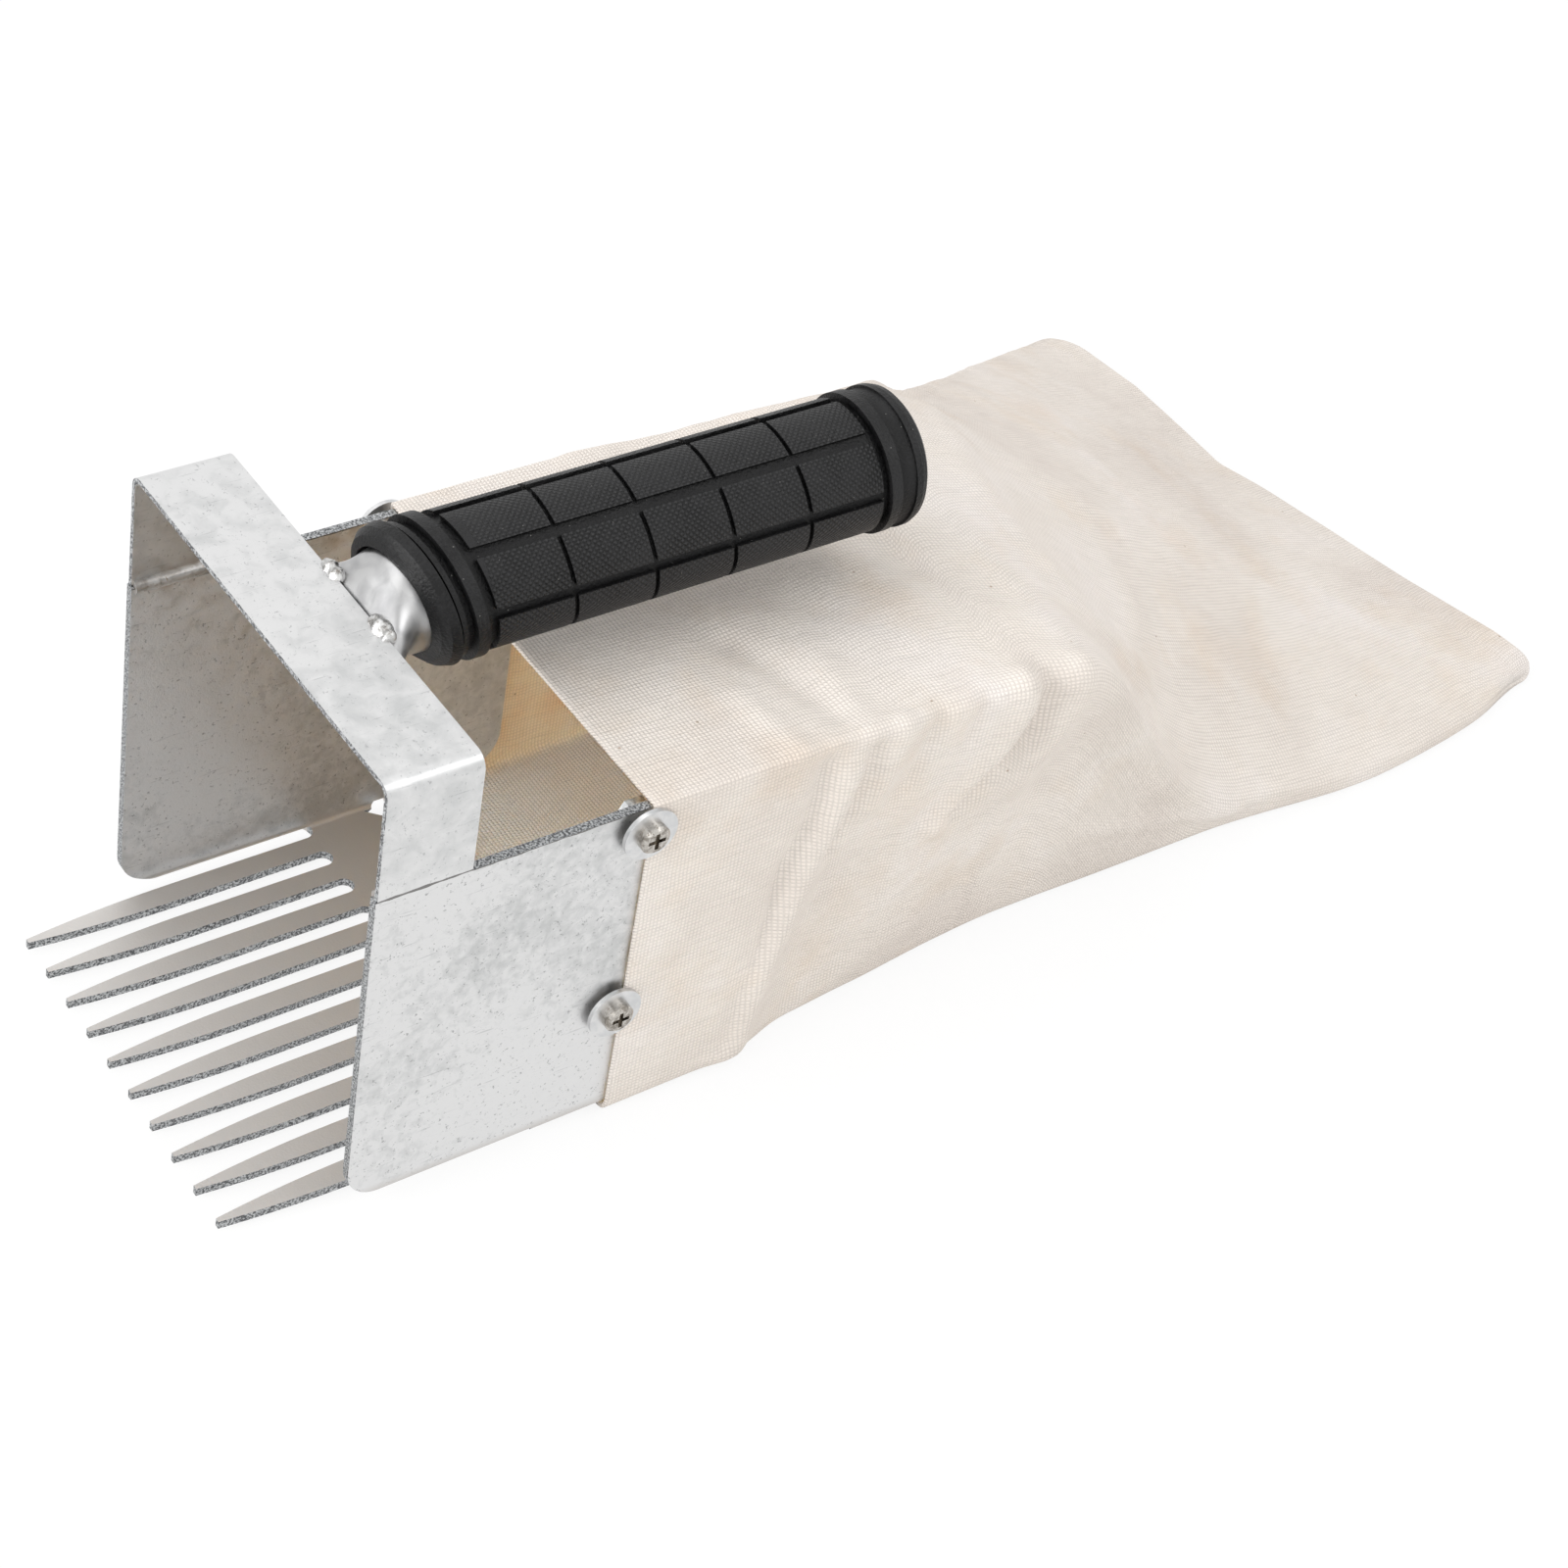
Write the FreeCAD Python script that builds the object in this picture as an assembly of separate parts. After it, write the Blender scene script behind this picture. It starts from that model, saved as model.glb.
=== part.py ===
import FreeCAD, Part
import math
import os

from FreeCAD import Vector

# Berry picking rake: a scoop of galvanised sheet with a comb cut in its floor, a handle tube
# welded under a bridge strip, a rubber grip, and a canvas bag held to the walls by four screws.
# Millimetres, +Z up. The tines point to -Y and the bag lies to +Y. Left is +X, as the person who
# holds the grip sees it. Each piece is drawn from the underside of the floor, with the comb's slots
# ending as far before Y 0 as the bag's mouth lies behind it, and saved from the middle of the face
# that rests on the table, where the bag goes round the shell.

# Cutting tools run this far past what they cut
overrun = 2.0

# Scoop shell, one sheet cut and bent to a U
sheet_thickness = 2.0
outer_width = 100.0
wall_height = 84.6
wall_length = 92.6
inner_bend_radius = 1.0
plain_floor_length = 15.0
slot_reach = 45.0
front_corner_radius = 8.0
rear_corner_radius = 9.0
step_before_mouth = 2.0
floor_behind_mouth = 10.0

# Comb, cut in the floor of the shell
tine_count = 10
slot_width = 4.4
tine_reach = 23.75
tine_taper_length = 32.75
tine_tip_width = 1.1

# Bridge strip across the top of the walls
strip_thickness = 1.2
strip_width = 20.1
strip_setback = 0.3
bridge_rise = 27.9
strip_bend_radius = 2.0

# Welds
seam_weld_leg = 1.5
seam_weld_bulge = 0.9
seam_weld_setback = 0.4
tack_weld_radius = 1.9
tack_weld_end_radius = 0.9
tack_weld_lift = 1.0
tack_weld_setback = 0.5
tack_weld_left_place = 10.7
tack_weld_left_length = 8.0
tack_weld_right_place = -8.0
tack_weld_right_length = 7.0

# Handle tube, its front end pressed flat where it passes under the bridge strip
tube_diameter = 22.2
tube_wall = 1.5
tube_overlap = 6.0
pressed_thickness = 4.4
pressed_rise = 0.6
pressed_sideways = 3.5
flare_point_count = 24

# Grip
grip_front_gap = 9.0
grip_length = 118.0
grip_wall = 3.55
grip_bore_clearance = 0.05
grip_groove_depth = 1.1
grip_groove_length = 1.8
grip_ring_rise = 0.7
grip_ring_length = 3.9
lip_length = 4.2
lip_rounding = 4.0
lip_groove_length = 0.8
band_length = 1.2
band_drop = 0.2
end_flange_length = 4.8
end_flange_rounding = 3.1
rounding_flat_count = 3
end_wall = 5.7
block_count = 5
block_row_count = 7
block_channel_width = 2.4
block_channel_angle = 30.0
block_slit_width = 1.0

# Bag, canvas on the outside of the walls and under the floor
cloth_thickness = 1.0
cloth_clearance = 0.3
bag_tail_length = 245.0
seam_hem_length = 9.0
hem_hole_clearance = 0.3

# Screws, washers and nuts through the bag's hem and the walls
screw_diameter = 4.0
screw_hole_clearance = 0.15
upper_screw_before_mouth = 0.9
upper_screw_below_top = 5.2
lower_screw_before_mouth = 2.4
lower_screw_height = 30.8
washer_diameter = 12.0
washer_thickness = 1.0
head_diameter = 6.6
head_height = 2.0
head_bevel = 0.6
recess_width = 0.9
recess_length = 3.9
recess_depth = 1.2
nut_width = 7.0
nut_height = 3.2
nut_thread_clearance = 0.05
screw_tail = 1.0

# Places that follow from those sizes
half_width = outer_width / 2
wall_inside = half_width - sheet_thickness
outer_bend_radius = inner_bend_radius + sheet_thickness
bend_line = half_width - outer_bend_radius
slot_radius = slot_width / 2
slot_end = -plain_floor_length / 2
mouth = plain_floor_length / 2
wall_front = slot_end - slot_reach
wall_rear = wall_front + wall_length
floor_rear = mouth + floor_behind_mouth
tip_line = wall_front - tine_reach
tine_pitch = 2 * bend_line / tine_count
strip_front = wall_front + strip_setback
strip_rear = strip_front + strip_width
bridge_top = wall_height + bridge_rise
bridge_underside = bridge_top - strip_thickness
leg_inside = half_width - strip_thickness
tube_radius = tube_diameter / 2
pressed_height = bridge_underside - pressed_thickness / 2
pressed_straight = math.pi * (tube_diameter - pressed_thickness) / 2
handle_height = pressed_height - pressed_rise
grip_front = strip_rear + grip_front_gap
grip_rear = grip_front + grip_length
lip_end = grip_front + lip_length
band_start = lip_end + lip_groove_length
first_groove = band_start + band_length
tube_front = strip_rear - tube_overlap
tube_rear = grip_rear - end_wall
grip_radius = tube_radius + grip_wall
groove_radius = grip_radius - grip_groove_depth
cloth_inside = half_width + cloth_clearance
cloth_outside = cloth_inside + cloth_thickness
bag_foot_bevel = (2 - math.sqrt(2)) * outer_bend_radius + cloth_clearance
mouth_height = wall_height + 2 * (cloth_clearance + cloth_thickness)
bag_bottom = -cloth_clearance - cloth_thickness
tail_start = wall_rear + cloth_clearance + cloth_thickness
resting_point = Vector(0, (mouth + tail_start) / 2, bag_bottom)
upper_hole = (mouth - upper_screw_before_mouth, wall_height - upper_screw_below_top)
lower_hole = (mouth - lower_screw_before_mouth, lower_screw_height)
screw_radius = screw_diameter / 2
washer_outside = cloth_outside + washer_thickness


# A point of a plan, a side view or a section across the scoop
def in_plan(x, y):
    return Vector(x, y, 0)


def in_side(y, z):
    return Vector(0, y, z)


def in_section(x, z):
    return Vector(x, 0, z)


# Middle and end of an arc about a centre, between two angles in degrees
def turn(place, centre, radius, first_angle, last_angle):
    points = []
    for angle in ((first_angle + last_angle) / 2, last_angle):
        a = math.radians(angle)
        points.append(place(centre[0] + radius * math.cos(a), centre[1] + radius * math.sin(a)))
    return points


# A face from a start point and steps: a step of one point is a line, one of two points an arc
def face_of(start, steps):
    return Part.Face(wire_of(start, steps))


def wire_of(start, steps):
    edges = []
    here = start
    for step in steps + [[start]]:
        if len(step) == 2:
            edges.append(Part.Arc(here, step[0], step[1]).toShape())
        elif not here.isEqual(step[0], 0):
            edges.append(Part.LineSegment(here, step[0]).toShape())
        here = step[-1]
    return Part.Wire(edges)


def mirrored(shape):
    return shape.mirror(Vector(0, 0, 0), Vector(1, 0, 0))


def joined(first, *others):
    return first.multiFuse(list(others)).removeSplitter()


# The floor in plan. It ends in the bag's mouth, narrower behind the relief at the ends of the bends.
def shell_floor():
    relief_start = mouth - step_before_mouth
    relief_end = relief_start + outer_bend_radius
    narrow = bend_line - outer_bend_radius
    corners = [
        (bend_line, tip_line), (bend_line, relief_start), (narrow, relief_end), (narrow, floor_rear),
        (-narrow, floor_rear), (-narrow, relief_end), (-bend_line, relief_start), (-bend_line, tip_line),
    ]
    steps = [[in_plan(x, y)] for x, y in corners[1:]]
    return face_of(in_plan(*corners[0]), steps).extrude(Vector(0, 0, sheet_thickness))


# One wall with its bend, trimmed to its side view
def shell_wall():
    bend = (bend_line, outer_bend_radius)
    start = in_section(half_width, wall_height)
    section = face_of(start, [
        [in_section(half_width, outer_bend_radius)],
        turn(in_section, bend, outer_bend_radius, 0, -90),
        [in_section(bend_line, sheet_thickness)],
        turn(in_section, bend, inner_bend_radius, -90, 0),
        [in_section(wall_inside, wall_height)],
    ])
    section.translate(Vector(0, wall_front - overrun, 0))
    bent = section.extrude(Vector(0, wall_length + 2 * overrun, 0))

    lower_edge = slot_radius
    notch_end = slot_end - slot_width
    step_start = mouth - step_before_mouth
    front_corner = (wall_front + front_corner_radius, lower_edge + front_corner_radius)
    rear_corner = (wall_rear - rear_corner_radius, outer_bend_radius + rear_corner_radius)
    outline = face_of(in_side(wall_front, wall_height + overrun), [
        [in_side(wall_front, front_corner[1])],
        turn(in_side, front_corner, front_corner_radius, 180, 270),
        [in_side(notch_end, lower_edge)],
        [in_side(notch_end, -overrun)],
        [in_side(step_start, -overrun)],
        [in_side(step_start, 0)],
        [in_side(step_start + outer_bend_radius, outer_bend_radius)],
        [in_side(rear_corner[0], outer_bend_radius)],
        turn(in_side, rear_corner, rear_corner_radius, 270, 360),
        [in_side(wall_rear, wall_height + overrun)],
    ])
    return bent.common(outline.extrude(Vector(half_width + overrun, 0, 0)))


# The space between two tines: straight to a full round end, widening in an arc to the tips
def slot_cutter(centre, height):
    widening = (tine_pitch - tine_tip_width) / 2 - slot_radius
    taper_radius = (tine_taper_length ** 2 + widening ** 2) / (2 * widening)
    taper_angle = math.degrees(math.asin(tine_taper_length / taper_radius))
    taper_start = tip_line + tine_taper_length
    round_centre = (centre, slot_end - slot_radius)
    left_taper = (centre + slot_radius + taper_radius, taper_start)
    right_taper = (centre - slot_radius - taper_radius, taper_start)
    tip_half = slot_radius + widening
    outline = face_of(in_plan(centre - slot_radius, round_centre[1]), [
        turn(in_plan, round_centre, slot_radius, 180, 90),
        turn(in_plan, round_centre, slot_radius, 90, 0),
        [in_plan(centre + slot_radius, taper_start)],
        turn(in_plan, left_taper, taper_radius, 180, 180 + taper_angle),
        [in_plan(centre + tip_half, tip_line - overrun)],
        [in_plan(centre - tip_half, tip_line - overrun)],
        [in_plan(centre - tip_half, tip_line)],
        turn(in_plan, right_taper, taper_radius, -taper_angle, 0),
    ])
    outline.translate(Vector(0, 0, -overrun))
    return outline.extrude(Vector(0, 0, height + overrun))


# The outermost slots are centred on the bends, so they also free the lower edges of the walls
def edge_clearing():
    slot_shoulder = slot_end - slot_radius
    width = half_width + overrun - bend_line
    length = slot_shoulder - tip_line + overrun
    corner = Vector(bend_line, tip_line - overrun, -overrun)
    return Part.makeBox(width, length, slot_radius + overrun, corner)


def scoop_shell():
    wall = shell_wall()
    clearing = edge_clearing()
    shell = joined(shell_floor(), wall, mirrored(wall))
    cutters = [clearing, mirrored(clearing)]
    for i in range(1, tine_count):
        cutters.append(slot_cutter(i * tine_pitch - bend_line, sheet_thickness + overrun))
    for centre in (-bend_line, bend_line):
        cutters.append(slot_cutter(centre, slot_radius))
    hole_radius = screw_radius + screw_hole_clearance
    for place, height in (upper_hole, lower_hole):
        start = Vector(-half_width - overrun, place, height)
        cutters.append(Part.makeCylinder(hole_radius, outer_width + 2 * overrun, start, Vector(1, 0, 0)))
    return shell.cut(cutters)


def bridge_strip():
    outer_radius = strip_bend_radius + strip_thickness
    bend = (half_width - outer_radius, bridge_top - outer_radius)
    other_bend = (-bend[0], bend[1])
    strip = face_of(in_section(half_width, wall_height), [
        [in_section(half_width, bend[1])],
        turn(in_section, bend, outer_radius, 0, 90),
        [in_section(other_bend[0], bridge_top)],
        turn(in_section, other_bend, outer_radius, 90, 180),
        [in_section(-half_width, wall_height)],
        [in_section(-leg_inside, wall_height)],
        [in_section(-leg_inside, bend[1])],
        turn(in_section, other_bend, strip_bend_radius, 180, 90),
        [in_section(bend[0], bridge_underside)],
        turn(in_section, bend, strip_bend_radius, 90, 0),
        [in_section(leg_inside, wall_height)],
    ])
    strip.translate(Vector(0, strip_front, 0))
    return strip.extrude(Vector(0, strip_width, 0))


# A bead along the seam of a wall and a leg of the bridge, on the inside
def seam_weld():
    bulge_point = in_section(wall_inside - seam_weld_bulge, wall_height)
    bead = face_of(in_section(leg_inside, wall_height), [
        [in_section(wall_inside, wall_height)],
        [in_section(wall_inside, wall_height - seam_weld_leg)],
        [bulge_point, in_section(leg_inside, wall_height + seam_weld_leg)],
    ])
    bead.translate(Vector(0, strip_front + seam_weld_setback, 0))
    return bead.extrude(Vector(0, strip_width - 2 * seam_weld_setback, 0))


# A short bead with tapered ends where the strip's rear edge crosses the tube
def tack_weld(place, length, tube, strip):
    centre = Vector(place, strip_rear + tack_weld_setback, bridge_underside + tack_weld_lift)
    taper = tack_weld_radius - tack_weld_end_radius
    half = length / 2
    profile = face_of(in_plan(-half, 0), [
        [in_plan(-half, tack_weld_end_radius)], [in_plan(-half + taper, tack_weld_radius)],
        [in_plan(half - taper, tack_weld_radius)], [in_plan(half, tack_weld_end_radius)],
        [in_plan(half, 0)],
    ])
    bead = profile.revolve(Vector(0, 0, 0), Vector(1, 0, 0), 360)
    bead.translate(centre)
    bead = bead.cut([tube, strip])
    return max(bead.Solids, key=lambda solid: solid.Volume)


# Points of the round and of the pressed section at the same shares of the way round, from the middle
# of the top toward the left. Pressed, the tube is as long round as before.
def round_point(share, inset):
    radius = tube_radius - inset
    a = 2 * math.pi * share
    return in_section(radius * math.sin(a), handle_height + radius * math.cos(a))


def pressed_point(share, inset):
    radius = pressed_thickness / 2 - inset
    half_straight = pressed_straight / 2
    straight_share = pressed_straight / (math.pi * tube_diameter)
    side_share = 1 / 2 - straight_share
    if share > 1 / 2:
        other = pressed_point(1 - share, inset)
        return in_section(2 * pressed_sideways - other.x, other.z)
    if share < straight_share / 2:
        return in_section(pressed_sideways + 2 * half_straight * share / straight_share, pressed_height + radius)
    if share > straight_share / 2 + side_share:
        before_end = (1 / 2 - share) / straight_share
        return in_section(pressed_sideways + 2 * half_straight * before_end, pressed_height - radius)
    a = math.pi * (share - straight_share / 2) / side_share
    return in_section(pressed_sideways + half_straight + radius * math.sin(a), pressed_height + radius * math.cos(a))


def flare_points(y, point, inset):
    shares = [(i + 1 / 2) / flare_point_count for i in range(flare_point_count)]
    return [point(share, inset) + Vector(0, y, 0) for share in shares]


def flat_face(*points):
    return Part.Face(Part.makePolygon(list(points) + [points[0]]))


# Through rings of points, in flat triangles, and closed at both ends
def faceted_solid(rings):
    faces = [flat_face(*rings[0]), flat_face(*reversed(rings[-1]))]
    for front, rear in zip(rings[:-1], rings[1:]):
        for i in range(len(front)):
            faces.append(flat_face(front[i - 1], rear[i - 1], rear[i]))
            faces.append(flat_face(front[i - 1], rear[i], front[i]))
    return Part.Solid(Part.Shell(faces))


# The tube's outer face with no inset, or its bore, inset by the wall
def tube_solid(inset, extra):
    along = Vector(0, 1, 0)
    flat_end = flare_points(strip_rear, pressed_point, inset)
    flare_end = flare_points(grip_front, round_point, inset)
    pressed = flat_face(*flat_end).extrude(Vector(0, -tube_overlap - extra, 0))
    start = Vector(0, grip_front, handle_height)
    pipe = Part.makeCylinder(tube_radius - inset, tube_rear + extra - grip_front, start, along)
    return joined(pressed, faceted_solid([flat_end, flare_end]), pipe)


def handle_tube():
    return tube_solid(0, 0).cut(tube_solid(tube_wall, overrun))


# Steps of a ring of the grip in side view
def ring_steps(start, length):
    crest = handle_height + grip_radius + grip_ring_rise
    return [[in_side(start, crest)], [in_side(start + length, crest)]]


# Steps round a quarter turn, in a few flats between points on it
def quarter_in_flats(centre, radius, first_angle):
    steps = []
    for i in range(rounding_flat_count + 1):
        a = math.radians(first_angle - i * 90 / rounding_flat_count)
        steps.append([in_side(centre[0] + radius * math.cos(a), centre[1] + radius * math.sin(a))])
    return steps


# Steps of the lip, round toward the bridge, with the low band behind it, and of the end flange
def lip_steps():
    crest = handle_height + grip_radius + grip_ring_rise
    band_top = handle_height + grip_radius - band_drop
    centre = (grip_front + lip_rounding, crest - lip_rounding)
    steps = quarter_in_flats(centre, lip_rounding, 180) + [[in_side(lip_end, crest)]]
    steps += groove_steps(lip_end, band_start)
    return steps + [[in_side(band_start, band_top)], [in_side(first_groove, band_top)]]


def end_flange_steps():
    crest = handle_height + grip_radius + grip_ring_rise
    centre = (grip_rear - end_flange_rounding, crest - end_flange_rounding)
    start = grip_rear - end_flange_length
    return [[in_side(start, crest)]] + quarter_in_flats(centre, end_flange_rounding, 90)


def groove_steps(start, end):
    low = handle_height + groove_radius
    return [[in_side(start, low)], [in_side(end, low)]]


def grip():
    bore = handle_height + tube_radius + grip_bore_clearance
    ring_start = first_groove + grip_groove_length
    body_start = ring_start + grip_ring_length + grip_groove_length
    end_flange_start = grip_rear - end_flange_length
    rear_ring_end = end_flange_start - grip_groove_length
    rear_ring_start = rear_ring_end - grip_ring_length
    body_end = rear_ring_start - grip_groove_length
    body_top = handle_height + grip_radius

    steps = lip_steps()
    steps += groove_steps(first_groove, ring_start)
    steps += ring_steps(ring_start, grip_ring_length)
    steps += groove_steps(ring_start + grip_ring_length, body_start)
    steps += [[in_side(body_start, body_top)], [in_side(body_end, body_top)]]
    steps += groove_steps(body_end, rear_ring_start)
    steps += ring_steps(rear_ring_start, grip_ring_length)
    steps += groove_steps(rear_ring_end, end_flange_start)
    steps += end_flange_steps()
    steps += [[in_side(grip_rear, handle_height)], [in_side(tube_rear, handle_height)]]
    steps += [[in_side(tube_rear, bore)]]
    profile = face_of(in_side(grip_front, bore), steps)
    body = profile.revolve(Vector(0, 0, handle_height), Vector(0, 1, 0), 360)
    return body.cut(block_cutters(body_start, body_end))


# Channels along the grip and slits round it, which leave the rows of blocks
def block_cutters(body_start, body_end):
    cutters = []
    body_length = body_end - body_start
    axis_point = Vector(0, 0, handle_height)
    along = Vector(0, 1, 0)
    for i in range(block_row_count):
        corner = Vector(-block_channel_width / 2, body_start, handle_height + groove_radius)
        channel = Part.makeBox(block_channel_width, body_length, grip_groove_depth + overrun, corner)
        channel.rotate(axis_point, along, block_channel_angle + i * 360 / block_row_count)
        cutters.append(channel)
    for i in range(1, block_count):
        slit_start = body_start + i * body_length / block_count - block_slit_width / 2
        start = Vector(0, slit_start, handle_height)
        outer = Part.makeCylinder(grip_radius + overrun, block_slit_width, start, along)
        inner = Part.makeCylinder(groove_radius, block_slit_width, start, along)
        cutters.append(outer.cut(inner))
    return cutters


# Stations of the bag behind the shell, as shares chosen by hand. Along is a share of the tail's
# length. The near side at +X has its foot and shoulder, and the far side at -X one value, in shares
# of the mouth's half width. Lag is how far the far side trails the near one, in shares of the tail's
# length. The heights of the near, middle and far top are shares of the mouth's height.
bag_station_shares = (
    (0.00, 1.00, 1.00, -1.00, 0.000, 1.00, 1.00, 1.00),
    (0.16, 0.84, 0.97, -1.01, 0.005, 0.95, 0.97, 0.99),
    (0.32, 0.78, 0.96, -1.02, 0.010, 0.92, 0.95, 0.98),
    (0.40, 0.80, 0.90, -1.12, 0.020, 0.66, 0.86, 0.92),
    (0.50, 0.82, 0.86, -1.39, 0.035, 0.30, 0.70, 0.71),
    (0.62, 0.86, 0.86, -1.71, 0.055, 0.17, 0.52, 0.51),
    (0.78, 0.89, 0.86, -2.15, 0.080, 0.11, 0.30, 0.28),
    (0.92, 0.79, 0.77, -2.49, 0.102, 0.08, 0.13, 0.10),
)
seam_height_share = 0.04
seam_near_share = 0.66
seam_far_share = -2.62
seam_lag_share = 0.113
bag_corner_share = 0.30


# A section of the bag: flat below with bevelled corners, straight sides, a top raised in the middle
def bag_section(foot, shoulder, far, lag, bottom, near_top, middle_top, far_top, bevel):
    slant = lag / (foot[0] - far[0])

    def in_slice(x, z):
        return Vector(x, far[1] + (x - far[0]) * slant, z)

    far_foot = in_slice(far[0], bottom)
    near_foot = in_slice(foot[0], bottom)
    near_fold = in_slice(shoulder, near_top)
    far_fold = in_slice(far[0], far_top)
    points = []
    for corner, neighbours in ((far_foot, (far_fold, near_foot)), (near_foot, (far_foot, near_fold))):
        for neighbour in neighbours:
            points.append(corner + (neighbour - corner).normalize() * bevel)
    return points + [near_fold, in_slice((shoulder + far[0]) / 2, middle_top), far_fold]


# The cloth's outer face with no inset, or its inner face, inset by the cloth's thickness
def bag_sections(inset):
    sections = []
    for along, foot, shoulder, far, lag, near_top, middle_top, far_top in bag_station_shares:
        trailing = lag * bag_tail_length
        tops = [bag_bottom + share * mouth_height - inset for share in (near_top, middle_top, far_top)]
        bevel = min(bag_foot_bevel, bag_corner_share * (min(tops) - bag_bottom - inset))
        sections.append(bag_section(
            (foot * cloth_outside - inset, 0), shoulder * cloth_outside - inset,
            (far * cloth_outside + inset, tail_start + along * bag_tail_length - trailing / 2),
            trailing, bag_bottom + inset, tops[0], tops[1], tops[2], bevel))
    return sections


# The flat sewn end of the bag, at a distance before its edge
def seam_section(before_edge, inset):
    trailing = seam_lag_share * bag_tail_length
    y = tail_start + bag_tail_length - trailing / 2 - before_edge
    near = seam_near_share * cloth_outside - inset
    low = bag_bottom + inset
    high = bag_bottom + seam_height_share * mouth_height - inset
    far = (seam_far_share * cloth_outside + inset, y)
    return bag_section((near, 0), near, far, trailing, low, high, high, high, bag_corner_share * (high - low))


# The sections with others halfway between them, so that the facets follow the cloth
def with_halfway(sections):
    rings = sections[:1]
    for front, rear in zip(sections[:-1], sections[1:]):
        rings.append([(a + b) * 0.5 for a, b in zip(front, rear)])
        rings.append(rear)
    return rings


def bag():
    outer = bag_sections(0) + [seam_section(seam_hem_length, 0), seam_section(0, 0)]
    inner = bag_sections(cloth_thickness) + [seam_section(seam_hem_length, cloth_thickness)]
    sleeve_length = tail_start - mouth
    outer_sleeve = flat_face(*outer[0]).extrude(Vector(0, -sleeve_length, 0))
    inner_sleeve = flat_face(*inner[0]).extrude(Vector(0, -sleeve_length - overrun, 0))
    outer_body = joined(outer_sleeve, faceted_solid(with_halfway(outer)))
    body = outer_body.cut(joined(inner_sleeve, faceted_solid(with_halfway(inner))))
    hole_radius = screw_radius + hem_hole_clearance
    holes = []
    for place, height in (upper_hole, lower_hole):
        start = Vector(-cloth_outside - overrun, place, height)
        length = 2 * (cloth_outside + overrun)
        holes.append(Part.makeCylinder(hole_radius, length, start, Vector(1, 0, 0)))
    return body.cut(holes)


# A fastener part is drawn on the X axis, pointing out to the left, and moved to its hole
def at_hole(shape, side, hole):
    if side < 0:
        shape = mirrored(shape)
    return shape.translated(Vector(0, hole[0], hole[1]))


# Pan head screw with a crossed recess, its shank through wall and nut
def screw():
    tip = wall_inside - nut_height - screw_tail
    head_end = washer_outside + head_height
    head_radius = head_diameter / 2
    profile = face_of(in_plan(tip, 0), [
        [in_plan(head_end, 0)],
        [in_plan(head_end, head_radius - head_bevel)],
        [in_plan(head_end - head_bevel, head_radius)],
        [in_plan(washer_outside, head_radius)],
        [in_plan(washer_outside, screw_radius)],
        [in_plan(tip, screw_radius)],
    ])
    body = profile.revolve(Vector(0, 0, 0), Vector(1, 0, 0), 360)
    start = head_end - recess_depth
    depth = recess_depth + overrun
    upright = Vector(start, -recess_width / 2, -recess_length / 2)
    level = Vector(start, -recess_length / 2, -recess_width / 2)
    return body.cut([
        Part.makeBox(depth, recess_width, recess_length, upright),
        Part.makeBox(depth, recess_length, recess_width, level),
    ])


def washer():
    start = Vector(cloth_outside, 0, 0)
    along = Vector(1, 0, 0)
    disc = Part.makeCylinder(washer_diameter / 2, washer_thickness, start, along)
    hole = Part.makeCylinder(screw_radius + screw_hole_clearance, washer_thickness, start, along)
    return disc.cut(hole)


def nut():
    corner_radius = nut_width / math.sqrt(3)
    start = wall_inside - nut_height
    corners = []
    for i in range(6):
        a = math.radians(60 * i)
        corners.append(Vector(start, corner_radius * math.cos(a), corner_radius * math.sin(a)))
    hexagon = Part.Face(Part.makePolygon(corners + corners[:1]))
    body = hexagon.extrude(Vector(nut_height, 0, 0))
    hole_radius = screw_radius + nut_thread_clearance
    return body.cut(Part.makeCylinder(hole_radius, nut_height, Vector(start, 0, 0), Vector(1, 0, 0)))


def save(name, shape):
    shape.translated(-resting_point).exportStep("parts/" + name + ".step")
    print(name, len(shape.Solids), "solid", shape.isValid(), round(shape.Volume, 1), "mm3")


os.makedirs("parts", exist_ok=True)
strip_shape = bridge_strip()
tube_shape = handle_tube()
tube_outside = tube_solid(0, 0)
left_seam = seam_weld()
left_tack = tack_weld(tack_weld_left_place, tack_weld_left_length, tube_outside, strip_shape)
right_tack = tack_weld(tack_weld_right_place, tack_weld_right_length, tube_outside, strip_shape)
save("scoop_shell", scoop_shell())
save("bridge_strip", strip_shape)
save("seam_weld_left", left_seam)
save("seam_weld_right", mirrored(left_seam))
save("handle_tube", tube_shape)
save("tack_weld_left", left_tack)
save("tack_weld_right", right_tack)
save("grip", grip())
save("bag", bag())
for side_name, side in (("left", 1), ("right", -1)):
    for level_name, hole in (("upper", upper_hole), ("lower", lower_hole)):
        place_name = "_" + side_name + "_" + level_name
        save("screw" + place_name, at_hole(screw(), side, hole))
        save("washer" + place_name, at_hole(washer(), side, hole))
        save("nut" + place_name, at_hole(nut(), side, hole))
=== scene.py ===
import math

import bmesh
import bpy
import numpy as np
from mathutils import Matrix, Vector, noise


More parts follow.
